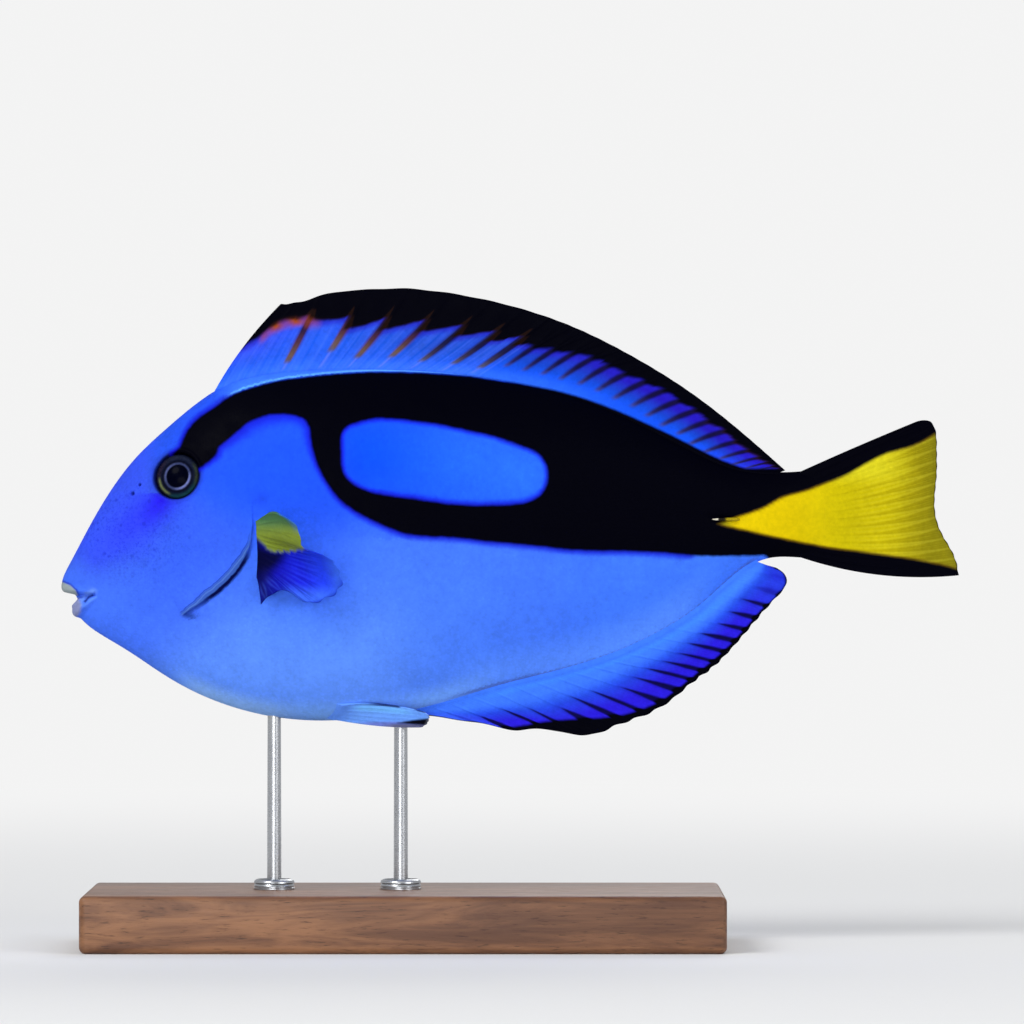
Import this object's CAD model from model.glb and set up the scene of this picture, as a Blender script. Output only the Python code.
"""The looks of a regal blue tang (Paracanthurus hepatus), a still, life-size model on a display stand.

The fish faces -X with its left side towards -Y, and +Z is up. Lengths below are in millimetres, as in the
part, and MM turns them into metres where a mesh is made. Colours are written as display values from 0 to 255.
"""

import math

import bmesh
import bpy
import numpy as np
from mathutils import Matrix, Vector
from mathutils.bvhtree import BVHTree


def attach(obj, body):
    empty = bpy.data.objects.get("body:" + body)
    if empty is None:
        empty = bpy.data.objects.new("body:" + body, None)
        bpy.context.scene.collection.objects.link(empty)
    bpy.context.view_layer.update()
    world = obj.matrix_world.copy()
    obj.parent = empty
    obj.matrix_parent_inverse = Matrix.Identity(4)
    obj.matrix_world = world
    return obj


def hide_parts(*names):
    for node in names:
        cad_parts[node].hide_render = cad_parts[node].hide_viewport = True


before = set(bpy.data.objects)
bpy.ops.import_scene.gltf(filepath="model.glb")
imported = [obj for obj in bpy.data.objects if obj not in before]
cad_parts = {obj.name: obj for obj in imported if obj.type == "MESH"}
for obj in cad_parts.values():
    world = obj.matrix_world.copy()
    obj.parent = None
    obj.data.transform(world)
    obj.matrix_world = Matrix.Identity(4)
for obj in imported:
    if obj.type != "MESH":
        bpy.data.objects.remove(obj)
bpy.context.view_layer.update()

MM = 0.001

# Driving dimensions of the fish, as in the part, but for the lean of the dorsal fin's rays, the last point of
# its margin and the upper end of the tail's margin, which differ by less than a millimetre
NOSE_X = -110.0
BODY_END_X = 78.5
BACK = [(-110, 88.8), (-109.3, 91.4), (-106.8, 96.2), (-99.5, 109.4), (-92, 119.6), (-84.8, 126.5),
        (-77.4, 132.7), (-70.8, 137.0), (-60, 140.2), (-45, 141.4), (-30, 141.4), (-10, 140.1),
        (5, 137.5), (20, 133.2), (33, 127.4), (45, 121.2), (54, 117.4), (62, 116.2), (70, 116.3), (80, 117.3)]
BELLY = [(-110, 88.8), (-109.3, 86.2), (-107.4, 82.9), (-103.6, 78.6), (-99.5, 75.8), (-92, 71.2),
         (-84.8, 66.4), (-77, 62.1), (-68, 58.6), (-59, 56.4), (-50, 55.4), (-40, 55.5), (-27, 57.1),
         (-14, 60.3), (-1.5, 63.8), (10, 66.4), (19.4, 68.9), (28, 72.0), (37, 76.4), (46, 82.4),
         (52, 87.9), (57, 92.2), (62, 94.8), (70, 95.3), (80, 94.6)]
GIRTH = [(-110, 0), (-109, 2.1), (-106, 3.7), (-102, 5.0), (-96, 6.8), (-88, 8.9), (-80, 10.7), (-70, 12.5),
         (-60, 13.7), (-48, 14.2), (-35, 13.9), (-20, 12.8), (-5, 11.2), (10, 9.4), (25, 7.6), (40, 5.9),
         (52, 4.8), (62, 4.0), (69, 3.2), (74, 2.3), (78.5, 1.5)]
WIDEST = [(-110, 88.8), (-104, 90.5), (-98, 93.2), (-88, 98), (-64, 105), (-40, 108.5), (-15, 109.5),
          (15, 108.5), (40, 107.2), (60, 106), (80, 106)]
UPPER_FULL = [(-110, 0.0), (-80, 0.15), (-40, 0.2), (50, 0.2), (80, 0.0)]
UPPER_SHARP = [(-110, 0.1), (-80, 0.4), (-40, 0.55), (50, 0.5), (80, 0.1)]
LOWER_FULL = [(-110, 0.1), (-80, 0.3), (-40, 0.35), (-15, 0.1), (10, -0.05), (50, -0.05), (80, 0.0)]
LOWER_SHARP = [(-110, 0.1), (-80, 0.25), (-40, 0.25), (-15, 0.4), (10, 0.6), (50, 0.5), (80, 0.1)]

COVER_REAR = [(-67.4, 119.0), (-64.8, 113.5), (-63.4, 107.5), (-63.2, 102), (-64.4, 96.5), (-67.4, 91.6),
              (-73.0, 86.4), (-80.6, 81.2)]
EYE_AT = (-81.7, 115.3)
EYE_RADIUS = 5.8
EYE_BULGE = 1.3
EYE_DEPTH = 3.6
CORNEA_RISE = 0.22
GAZE = (-1.0, -0.5)  # how far forwards and up of the eye's middle the pupil sits
NOSTRILS = [(-92.4, 110.9, 0.5), (-90.6, 113.0, 0.38)]
UPPER_LIP = {"front": (-108.5, 88.0), "corner": (-101.8, 87.0), "radius": 1.5}
LOWER_LIP = {"front": (-106.1, 82.0), "corner": (-102.0, 85.2), "radius": 1.4}
GAPE = [(-114, 87.4), (-109.2, 86.7), (-106.2, 86.1), (-101.6, 86.4), (-101.6, 86.0), (-105.8, 85.3),
        (-107.3, 83.8), (-109.2, 81.6), (-114, 79)]

DORSAL_BASE_X = (-72.6, 66.0)
DORSAL_MARGIN = [(-56.4, 157.4), (-51.7, 158.0), (-44.3, 160.2), (-37, 160.9), (-29.6, 161.3), (-14.9, 160.1),
                 (-0.2, 157.0), (14.5, 152.1), (29.2, 144.9), (43.9, 135.8), (58.6, 124.2), (67.2, 116.6)]
DORSAL_LEAN = [(0, 0), (0.113, 0.067), (0.235, 0.234), (0.343, 0.38), (0.462, 0.502), (0.623, 0.656),
               (0.733, 0.776), (0.825, 0.879), (0.897, 0.953), (1, 1)]
DORSAL_SPINES, DORSAL_SOFT_RAYS, DORSAL_SPINE_STEP = 9, 19, 7.8
DORSAL_SPINE_SHIFTS = (0.8, 2.0, 1.2, 0.8, 0.8, 0.8)  # of the third to the eighth spine, to the rear
ANAL_BASE_X = (-23.6, 60.4)
ANAL_MARGIN = [(-20.6, 56.6), (-16.8, 56.1), (-12.4, 55.3), (-7.5, 54.7), (-2.1, 53.4), (2.3, 52.8),
               (7.1, 53.2), (12.0, 52.5), (17.0, 51.7), (20.5, 51.9), (25.8, 53.9), (31.7, 56.0),
               (36.0, 58.0), (39.6, 60.4), (43.9, 64.0), (49.4, 68.1), (53.5, 72.2), (58.4, 77.8),
               (65.6, 86.0), (67.6, 89.2), (66.9, 91.4), (64.9, 92.6)]
ANAL_LEAN = [(0, 0), (0.05, 0.11), (0.11, 0.215), (0.193, 0.326), (0.327, 0.455), (0.517, 0.62),
             (0.701, 0.745), (0.896, 0.9), (1, 1)]
ANAL_SPINES, ANAL_SOFT_RAYS, ANAL_SPINE_STEP = 3, 18, 4.0
TAIL_ROOT = [(70.0, 115.9), (75.5, 111.5), (77, 106), (75.5, 100), (70.0, 95.6)]
TAIL_MARGIN = [(100.0, 128.7), (101.8, 128.9), (103.2, 128.2), (104.0, 126.6), (104.4, 122), (104.4, 115.5),
               (103.9, 109.5), (104.3, 104.8), (106.1, 100.3), (107.4, 98.1), (108.5, 96.0), (109.4, 93.2),
               (109.7, 90.9)]
TAIL_RAYS = 16
PECTORAL_ROOT = ((-61.4, 104.2), (-61.2, 90.5))
PECTORAL_TIPS = [(-55.4, 20.5, 105.6), (-51.2, 20.5, 102.4), (-50.2, 18.8, 98.2), (-45.5, 15.0, 96.0),
                 (-41.5, 9.5, 92.5), (-41.0, 6.4, 88.0), (-45.0, 5.0, 85.0), (-49.8, 4.2, 84.4),
                 (-54.4, 3.6, 87.2), (-58.2, 3.0, 86.2), (-60.8, 2.4, 83.9)]
PECTORAL_RAYS = 14
PELVIC_ROOT = ((-43.5, 56.0), (-41.0, 59.6))
PELVIC_TIPS = ((-20.4, 3.3, 53.8), (-19.7, 5.0, 57.5))
PELVIC_RAYS = 6
SCALPEL_AT = (52.5, 104.6)
SCALPEL_LENGTH, SCALPEL_RADIUS = 7.0, 0.9
ROOT_SUNK = 2.6

BASE_SIZE = (156.0, 74.0, 14.0)
BASE_CENTRE_X = -26.0
BASE_BEVEL = 1.6
ROD_X = {"front": -58.0, "rear": -27.0}
ROD_RADIUS = 2.0
ROD_IN_BASE, ROD_IN_BODY = 8.0, 9.0
COLLAR_RADIUS, COLLAR_HEIGHT = 5.0, 2.2
COLLAR_SIDE = [(0.0, 0.9), (0.18, 0.75), (0.18, 0.55), (0.0, 0.4), (0.0, 0.05)]  # (inwards, up)
GAP = 0.3

# Outlines of the markings in side view
BAND_TOP = [(-77.6, 128.2), (-75.1, 130.3), (-72.7, 131.7), (-70.4, 133.5), (-66.4, 135.8), (-62.7, 137.0),
            (-59.0, 138.0), (-51.7, 139.2), (-44.3, 140.0), (-33.3, 140.6), (-22.3, 140.4), (-11.3, 139.7),
            (-0.2, 138.1), (10.8, 136.1), (21.8, 132.8), (32.8, 128.2), (43.9, 122.8), (51.2, 119.2),
            (57.5, 117.0)]
TAIL_SURROUND = [(62.0, 117.2), (66.0, 121.0), (112.0, 142.0), (122.0, 80.0), (70.0, 92.0), (64.0, 94.2)]
BAND_LOWER = [(62.2, 95.9), (43.9, 95.9), (32.8, 96.8), (14.5, 97.3), (7.1, 98.1), (-0.2, 98.8), (-7.6, 99.5),
              (-14.9, 100.3), (-26.0, 101.2), (-29.6, 102.5), (-33.3, 104.2), (-37.0, 106.1), (-40.7, 108.6),
              (-44.3, 112.8), (-46.8, 117.4), (-48.4, 122.6), (-49.0, 127.0)]
ARM_LOWER = [(-50.2, 129.0), (-52.6, 130.0), (-55.4, 130.4), (-59.0, 130.2), (-61.8, 129.3), (-64.3, 128.2),
             (-66.4, 126.3), (-69.2, 124.0), (-71.3, 122.3), (-72.0, 120.2), (-73.4, 118.8), (-75.1, 117.6),
             (-79.0, 116.0), (-82.6, 120.6), (-80.75, 122.1), (-79.9, 124.4), (-79.0, 126.4)]
PATCH = [(-41.4, 121.1), (-41.4, 125.3), (-40.7, 126.7), (-37.0, 128.4), (-33.3, 129.2), (-26.0, 128.9),
         (-18.6, 128.0), (-11.3, 126.5), (-3.9, 124.8), (3.4, 122.3), (7.1, 120.4), (9.1, 115.5),
         (7.1, 110.3), (3.4, 108.6), (-0.2, 108.1), (-7.6, 107.9), (-14.9, 108.3), (-22.3, 109.3),
         (-29.6, 110.3), (-37.0, 112.3), (-40.7, 115.5)]
YELLOW_TOP = [(50.2, 103.5), (54.9, 105.4), (62.2, 108.0), (65.9, 110.1), (71.8, 111.8), (77.7, 114.0),
              (81.6, 115.5), (88.0, 119.1), (92.9, 121.3), (98.2, 122.8), (103.6, 125.7), (112.0, 131.0)]
YELLOW_LOW = [(115.0, 90.6), (106.3, 93.0), (99.0, 94.5), (91.6, 95.6), (84.3, 96.6), (76.9, 97.6),
              (69.6, 99.0), (62.2, 100.5), (54.9, 102.2), (51.0, 103.0)]
DORSAL_DARK = [(-75, 149.4), (-61.5, 149.8), (-58.6, 152.2), (-55.4, 153.8), (-51.5, 154.6), (-41.7, 153.3),
               (-32.0, 152.7), (-21.0, 152.4), (-12.4, 151.2), (-3.7, 149.7), (3.0, 147.6), (8.5, 146.4),
               (14.5, 145.2), (21.8, 143.4), (29.2, 140.3), (36.5, 136.7), (43.9, 132.2), (51.2, 127.0),
               (58.6, 121.8), (64.0, 118.2), (75, 111)]
ANAL_DARK = [(-24.0, 50.0), (-7.0, 52.8), (3.4, 54.4), (10.8, 55.5), (17.0, 55.9), (20.5, 56.1), (25.8, 56.6),
             (31.7, 58.2), (36.0, 60.0), (43.9, 65.8), (53.5, 74.0), (65.6, 87.6), (69.0, 91.0)]
# The grey of the lips in side view
UPPER_GREY = [(-112, 90.2), (-109.4, 89.3), (-107.7, 88.65), (-106.2, 87.3), (-105.8, 86.0), (-107.0, 85.2),
              (-112, 85.4)]
LOWER_GREY = [(-112, 84.4), (-106.4, 85.6), (-105.4, 85.6), (-104.7, 83.6), (-105.0, 81.8), (-105.6, 80.9),
              (-107.0, 79.6), (-112, 78.5)]
# The pectoral fin's yellow field, the dark wedge behind its root, and the one above the pelvic fin's tip
PECTORAL_YELLOW = [(-63.5, 107.0), (-58.0, 108.4), (-50.5, 108.0), (-49.2, 97.6), (-53.0, 96.9),
                   (-58.2, 96.6), (-60.2, 98.8), (-62.8, 101.5)]
PECTORAL_WEDGE = [(-64.5, 102.0), (-61.6, 100.8), (-60.2, 97.9), (-54.5, 96.6), (-55.5, 94.6), (-58.5, 91.0),
                  (-60.5, 87.0), (-64.5, 87.0)]
PELVIC_WEDGE = [(-27.8, 54.9), (-24.0, 55.6), (-19.0, 56.1), (-19.0, 54.3), (-23.0, 54.5)]
# Lines of the side view: the fold of the cheek, the skin over the pectoral fin's root, the groove of the tail
# spine, the purple run below the eye, and the fold at the mouth's corner
CHEEK_CREASE = [(-88.0, 104.0), (-84.5, 98.0), (-84.2, 91.0), (-87.5, 85.5)]
PECTORAL_PAD = [(-61.4, 103.0), (-61.2, 91.5)]
SCALPEL_GROOVE = [(47.6, 104.8), (57.4, 104.4)]
UNDER_EYE = [(-84.6, 111.0), (-86.8, 108.2), (-91.0, 104.4), (-96.0, 100.2), (-101.0, 95.6)]
MOUTH_CORNER = [(-104.4, 84.2), (-103.3, 85.5), (-101.9, 86.2)]
# How far above the back each spine's brown streak begins; the spines before FIRST_STREAK have none
STREAK_FEET = [9.0, 9.0, 2.5, 5.3, 3.5, 4.3, 3.6, 3.5, 2.9]
FIRST_STREAK = 2
YELLOW_FROM_X = 46
NOT_BLACK = -3.0  # a depth in the black marking that is well outside it

# Display values of the colours
FOREHEAD, CHEEK, FLANK = (50, 80, 186), (51, 92, 236), (62, 111, 238)
LOW_BELLY, REAR_BELLY, CHIN, SHOULDER = (90, 140, 244), (72, 123, 240), (66, 112, 240), (27, 78, 236)
PATCH_BLUE, BACK_BLUE, NAPE, REAR_FLANK = (6, 72, 236), (32, 84, 238), (38, 80, 206), (60, 113, 240)
DEEP_BLUE, PURPLE = (18, 12, 196), (34, 14, 220)
BLACK, PALE_LINE = (0, 0, 7), (96, 170, 252)
UPPER_LIP_GREY, LOWER_LIP_GREY = (140, 150, 140), (132, 136, 160)
YELLOW, ORANGE_YELLOW, OLIVE = (182, 168, 7), (208, 182, 5), (116, 110, 15)
RUST, MEMBRANE_GREY, IVORY = (140, 62, 14), (50, 84, 160), (226, 220, 200)
PATCH_REAR, SPECK = (40, 106, 252), (32, 46, 206)
GILL_LINE, GILL_LIGHT, GILL_OPENING = (24, 48, 140), (120, 162, 246), (8, 14, 74)
WALNUT, WALNUT_LIGHT, WALNUT_DARK, WALNUT_PORES = (92, 58, 38), (140, 96, 64), (70, 42, 28), (44, 26, 18)
STEEL_DARK, STEEL_LIGHT = (168, 171, 176), (194, 196, 199)
# The skin's tints: a place in side view, how far the tint reaches, and its colour
SKIN_TINTS = [((-97, 103), 13, FOREHEAD), ((-80, 90), 15, CHEEK), ((-98, 84), 11, CHIN),
              ((-66, 66), 17, LOW_BELLY), ((-38, 64), 16, LOW_BELLY), ((-14, 72), 16, REAR_BELLY),
              ((-5, 86), 20, FLANK), ((-52, 112), 12, SHOULDER), ((-66, 122), 11, SHOULDER),
              ((-50, 88), 14, FLANK), ((35, 86), 18, REAR_FLANK), ((-76, 130), 11, NAPE),
              ((20, 140), 26, BACK_BLUE)]
# The spots of the snout: their spacing in metres, the share of cells that hold one, their strength and colour
FRECKLES = [(0.0014, 0.6, 0.45, (18, 28, 160)), (0.0009, 0.9, 0.35, (30, 40, 196))]
# The colours along a streak, at distances from its foot: of the front spines, the rear ones and the soft rays
FRONT_STREAK = [(0.0, (84, 76, 84)), (2.0, (98, 74, 28)), (6.0, (72, 38, 14)), (9.5, (28, 12, 9))]
REAR_STREAK = [(0.0, (84, 80, 92)), (3.0, (50, 40, 42)), (7.0, (18, 12, 14))]
SOFT_STREAK = [(0.0, (58, 62, 130)), (2.0, (34, 28, 66)), (5.0, (14, 9, 28))]


def spline(knots):
    """A natural cubic spline through (place, value) knots, as a function that is held at its ends."""
    x, y = np.array(knots, float).T
    h = np.diff(x)
    system, right = np.eye(len(x)), np.zeros(len(x))
    for i in range(1, len(x) - 1):
        system[i, i - 1:i + 2] = h[i - 1], 2 * (h[i - 1] + h[i]), h[i]
        right[i] = 6 * ((y[i + 1] - y[i]) / h[i] - (y[i] - y[i - 1]) / h[i - 1])
    bend = np.linalg.solve(system, right)

    def value(place):
        t = np.clip(np.asarray(place, float), x[0], x[-1])
        i = np.clip(np.searchsorted(x, t) - 1, 0, len(x) - 2)
        left, right_part = x[i + 1] - t, t - x[i]
        curved = (bend[i] * left**3 + bend[i + 1] * right_part**3) / (6 * h[i])
        straight = (y[i] / h[i] - bend[i] * h[i] / 6) * left
        return curved + straight + (y[i + 1] / h[i] - bend[i + 1] * h[i] / 6) * right_part

    return value


def from_nose(knots):
    """A spline over the square root of the distance behind the nose, which rounds the snout off."""
    curve = spline([(math.sqrt(x - NOSE_X), value) for x, value in knots])
    return lambda x: curve(np.sqrt(np.maximum(np.asarray(x, float) - NOSE_X, 0)))


def path(points):
    """A smooth curve through points of any dimension, as a function of the share of its length."""
    points = np.array(points, float)
    steps = np.linalg.norm(np.diff(points, axis=0), axis=1)
    share = np.concatenate([[0], np.cumsum(steps)]) / steps.sum()
    axes = [spline(list(zip(share, column))) for column in points.T]
    return lambda s: np.stack([axis(s) for axis in axes], axis=-1)


def smooth_line(points, count):
    return [tuple(p) for p in path(points)(np.linspace(0, 1, count))]


back, belly, girth, widest = (from_nose(k) for k in (BACK, BELLY, GIRTH, WIDEST))
upper_full, upper_sharp, lower_full, lower_sharp = (
    spline(k) for k in (UPPER_FULL, UPPER_SHARP, LOWER_FULL, LOWER_SHARP))


def half_section(x, height):
    """Half the body's thickness at x, for a height from -1 at the belly over 0 at the widest line to 1."""
    full = np.where(height > 0, upper_full(x), lower_full(x))
    sharp = np.where(height > 0, upper_sharp(x), lower_sharp(x))
    closing = np.sqrt(np.maximum(1 - height**2, 0))
    return girth(x) * closing * (1 + full * height**2 - sharp * height**4)


def at_height(x, height):
    """The z of the skin at x, for a height from -1 at the belly over 0 at the widest line to 1."""
    return widest(x) + np.where(height > 0, back(x) - widest(x), widest(x) - belly(x)) * height


def flank(x, z):
    """Half the body's thickness at a point of the side view."""
    reach = np.where(z > widest(x), back(x) - widest(x), widest(x) - belly(x))
    return half_section(x, np.clip((z - widest(x)) / np.maximum(reach, 1e-6), -1, 1))


def flank_point(x, z, side):
    return Vector((x, side * float(flank(x, z)), z))


def flank_normal(x, z, side, step=0.5):
    """The direction out of the skin at a point of the side view. side is -1 for the fish's left."""
    slope_x = float(flank(x + step, z) - flank(x - step, z)) / (2 * step)
    slope_z = float(flank(x, z + step) - flank(x, z - step)) / (2 * step)
    return Vector((-slope_x, side, -slope_z)).normalized()


def ramp(value, start, end):
    """0 at start and 1 at end, eased at both."""
    t = np.clip((np.asarray(value, float) - start) / (end - start), 0, 1)
    return t * t * (3 - 2 * t)


def bump(value, width):
    """1 at 0, falling off on both sides like a bell."""
    return np.exp(-(np.asarray(value, float) / width)**2)


def linear(colour):
    """Display values from 0 to 255 as the linear colour that the shader takes."""
    c = np.array(colour, float) / 255
    return np.where(c <= 0.04045, c / 12.92, ((c + 0.055) / 1.055)**2.4)


def tint(paint, colour, share):
    """Moves an array of linear colours towards a named one."""
    share = np.clip(np.asarray(share, float), 0, 1)[..., None]
    return paint * (1 - share) + linear(colour) * share


def tinted(paint, layers):
    """Lays (colour, share) layers over an array of linear colours, one after another."""
    for colour, share in layers:
        paint = tint(paint, colour, share)
    return paint


def plain(colour, like):
    """One display colour as linear colours, in the shape of an array of places."""
    return np.zeros((*np.shape(like), 3)) + linear(colour)


def graded(value, stops):
    """Linear colours that run through (value, display colour) stops."""
    shades = np.array([linear(colour) for _, colour in stops])
    return np.stack([np.interp(value, [at for at, _ in stops], shade) for shade in shades.T], axis=-1)


def inside(x, z, outline):
    """Distance to a closed outline of the side view, positive inside it."""
    points = np.array(outline, float)
    ends = np.roll(points, -1, axis=0)
    run = ends - points
    place = np.stack([np.asarray(x, float), np.asarray(z, float)], axis=-1)[..., None, :]
    share = np.clip(((place - points) * run).sum(-1) / np.maximum((run**2).sum(-1), 1e-9), 0, 1)
    away = np.linalg.norm(place - points - share[..., None] * run, axis=-1).min(-1)
    crosses = (points[:, 1] > place[..., 1]) != (ends[:, 1] > place[..., 1])
    rise = np.where(run[:, 1] == 0, 1e-9, run[:, 1])
    left_of = place[..., 0] < points[:, 0] + run[:, 0] * (place[..., 1] - points[:, 1]) / rise
    within = (crosses & left_of).sum(-1) % 2 == 1
    return np.where(within, away, -away)


def beside(x, z, line):
    """The nearest place along an open line, from 0 to 1, and the distance, positive to the line's left."""
    points = np.array(line, float)
    run = np.diff(points, axis=0)
    lengths = np.linalg.norm(run, axis=1)
    place = np.stack([np.asarray(x, float), np.asarray(z, float)], axis=-1)[..., None, :]
    share = np.clip(((place - points[:-1]) * run).sum(-1) / lengths**2, 0, 1)
    offset = place - points[:-1] - share[..., None] * run
    away = np.linalg.norm(offset, axis=-1)
    nearest = away.argmin(-1)
    pick = lambda a: np.take_along_axis(a, nearest[..., None], -1)[..., 0]
    turn = run[:, 0] * offset[..., 1] - run[:, 1] * offset[..., 0]
    along = np.concatenate([[0], np.cumsum(lengths)])[nearest] + pick(share) * lengths[nearest]
    return along / lengths.sum(), pick(away) * np.sign(pick(turn) + 1e-12)


BLACK_OUTLINE = [*smooth_line(BAND_TOP, 60), *TAIL_SURROUND, *smooth_line(BAND_LOWER, 60), *ARM_LOWER]
PATCH_OUTLINE = smooth_line([*PATCH, PATCH[0]], 90)[:-1]
YELLOW_OUTLINE = [*smooth_line(YELLOW_TOP, 40), *smooth_line(YELLOW_LOW, 40)]
COVER_EDGE = smooth_line(COVER_REAR, 60)


def chart(outline, low=(-113.0, 48.0), high=(119.0, 165.0), step=0.5):
    """The distance into an outline worked out once over the side view, as a function that reads between."""
    xs, zs = np.arange(low[0], high[0], step), np.arange(low[1], high[1], step)
    known = inside(*np.meshgrid(xs, zs, indexing="ij"), outline)

    def read(x, z):
        across = np.clip((np.asarray(x, float) - low[0]) / step, 0, len(xs) - 1.001)
        up = np.clip((np.asarray(z, float) - low[1]) / step, 0, len(zs) - 1.001)
        i, j = across.astype(int), up.astype(int)
        a, b = across - i, up - j
        return ((known[i, j] * (1 - a) + known[i + 1, j] * a) * (1 - b)
                + (known[i, j + 1] * (1 - a) + known[i + 1, j + 1] * a) * b)

    return read


in_band, in_patch, in_yellow = chart(BLACK_OUTLINE), chart(PATCH_OUTLINE), chart(YELLOW_OUTLINE)


def black_depth(x, z):
    """How far inside the black marking a point of the side view lies, in millimetres, negative outside it."""
    return np.minimum(in_band(x, z), np.minimum(-in_patch(x, z), -in_yellow(x, z)))


def new_mesh(name, vertices, faces, uvs):
    """A mesh from vertices in millimetres, its faces, and a place in the map for each corner of each face."""
    mesh = bpy.data.meshes.new(name)
    mesh.from_pydata((np.asarray(vertices) * MM).tolist(), [], faces)
    mesh.uv_layers.new(name="OFBake").data.foreach_set("uv", np.asarray(uvs, np.float32).ravel())
    return mesh


def new_object(name, mesh):
    """An object in the scene with its mesh shaded smooth."""
    mesh.shade_smooth()
    made = bpy.data.objects.new(name, mesh)
    bpy.context.scene.collection.objects.link(made)
    return made


def hand_over(piece, finish, slot_name, *nodes):
    """Gives a piece its finish, its body, the nodes that it stands for and its slot."""
    piece.data.materials.append(finish)
    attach(piece, "root")
    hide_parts(*nodes)
    return piece


def turn_outwards(mesh):
    """Makes the faces of a closed mesh look out of it."""
    work = bmesh.new()
    work.from_mesh(mesh)
    bmesh.ops.recalc_face_normals(work, faces=work.faces)
    work.to_mesh(mesh)
    work.free()


def tube(rings, columns, capped=False, looped=False):
    """The faces that join rings of vertices, and the (ring, column) of each of their corners for the map.

    capped adds a first and a last point, each joined to its ring. looped joins the last ring to the first.
    """

    def number(i, j):
        if capped and i in (-1, rings):
            return 0 if i < 0 else rings * columns + 1
        return int(capped) + i % rings * columns + j % columns

    corners = []
    if capped:
        corners += [((-1, j + 0.5), (0, j + 1), (0, j)) for j in range(columns)]
    for i in range(rings if looped else rings - 1):
        corners += [((i, j), (i, j + 1), (i + 1, j + 1), (i + 1, j)) for j in range(columns)]
    if capped:
        corners += [((rings - 1, j), (rings - 1, j + 1), (rings, j + 0.5)) for j in range(columns)]
    faces = [[number(i, j) for i, j in face] for face in corners]
    return faces, [corner for face in corners for corner in face]


# The kinds of attribute for values of one, three and four numbers
VALUE_KINDS = {1: ("FLOAT", "value"), 3: ("FLOAT_VECTOR", "vector"), 4: ("FLOAT_COLOR", "color")}


def write_values(mesh, **values):
    """Writes attributes of one number, a vector or a colour for each vertex, which the materials read."""
    for name, value in values.items():
        value = np.asarray(value, np.float32)
        kind, field = VALUE_KINDS[1 if value.ndim == 1 else value.shape[1]]
        mesh.attributes.new(name, kind, "POINT").data.foreach_set(field, value.ravel())


def give_colours(mesh, paint, black=NOT_BLACK):
    """Writes the fish's colours, and how deep in the black marking each vertex lies."""
    opaque = np.insert(np.clip(paint, 0, 1), 3, 1.0, axis=1)
    write_values(mesh, paint=opaque, black=black + np.zeros(len(paint)))


# Nodes


class Nodes:
    """One material with short ways to add and link its nodes."""

    def __init__(self, name):
        self.made = bpy.data.materials.new(name)
        self.made.use_nodes = True
        self.tree = self.made.node_tree
        self.count = 0

    def add(self, kind, **settings):
        node = self.tree.nodes.new(kind)
        node.location = (220 * (self.count % 8) - 1400, -260 * (self.count // 8))
        self.count += 1
        for key, value in settings.items():
            setattr(node, key, value)
        return node

    def link(self, output, target):
        self.tree.links.new(output, target)

    def feed(self, node, **given):
        """Sets or links inputs of a node, named with _ for a space."""
        for name, value in given.items():
            socket = node.inputs[name.replace("_", " ")]
            if isinstance(value, bpy.types.NodeSocket):
                self.link(value, socket)
            else:
                socket.default_value = value

    def math(self, operation, *values):
        node = self.add("ShaderNodeMath", operation=operation)
        for socket, value in zip(node.inputs, values):
            if isinstance(value, bpy.types.NodeSocket):
                self.link(value, socket)
            else:
                socket.default_value = value
        return node.outputs[0]

    def times(self, first, second):
        return self.math("MULTIPLY", first, second)

    def spread(self, value, low, high, to_low=0.0, to_high=1.0, eased=True):
        node = self.add("ShaderNodeMapRange", interpolation_type="SMOOTHSTEP" if eased else "LINEAR")
        self.feed(node, Value=value, From_Min=low, From_Max=high, To_Min=to_low, To_Max=to_high)
        return node.outputs[0]

    def mix(self, share, first, second, kind="MIX"):
        node = self.add("ShaderNodeMix", data_type="RGBA", blend_type=kind)
        for number, value in ((0, share), (6, first), (7, second)):
            if isinstance(value, bpy.types.NodeSocket):
                self.link(value, node.inputs[number])
            else:
                node.inputs[number].default_value = value
        return node.outputs[2]

    def shaded(self, colour, shade):
        """A colour made darker or lighter by a value."""
        grey = self.add("ShaderNodeCombineColor")
        for socket in grey.inputs:
            self.link(shade, socket)
        return self.mix(1.0, colour, grey.outputs[0], "MULTIPLY")

    def noise(self, where, scale, detail=3.0, roughness=0.55, distortion=0.0):
        node = self.add("ShaderNodeTexNoise")
        self.feed(node, Vector=where, Scale=scale, Detail=detail, Roughness=roughness, Distortion=distortion)
        return node.outputs["Fac"]

    def cells(self, where, scale, output="Distance"):
        node = self.add("ShaderNodeTexVoronoi")
        self.feed(node, Vector=where, Scale=scale)
        return node.outputs[output]

    def stretched(self, where, scale):
        node = self.add("ShaderNodeMapping")
        self.feed(node, Vector=where, Scale=scale)
        return node.outputs[0]

    def place(self):
        return self.add("ShaderNodeTexCoord").outputs["Object"]

    def attribute(self, name, output="Fac"):
        return self.add("ShaderNodeAttribute", attribute_name=name).outputs[output]

    def surface(self, specular=0.5, coat=0.0, coat_roughness=0.1, metallic=0.0):
        """Sets the constants of the material's Principled shader."""
        self.feed(self.tree.nodes["Principled BSDF"], Specular_IOR_Level=specular, Coat_Weight=coat,
                  Coat_Roughness=coat_roughness, Metallic=metallic)

    def finish(self, colour, roughness, height, strength, distance):
        """Links the shader's colour and roughness and a bump of the given strength and depth, in metres."""
        bumpy = self.add("ShaderNodeBump")
        self.feed(bumpy, Height=height, Strength=strength, Distance=distance)
        self.feed(self.tree.nodes["Principled BSDF"], Base_Color=colour, Roughness=roughness,
                  Normal=bumpy.outputs[0])
        return self.made


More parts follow.
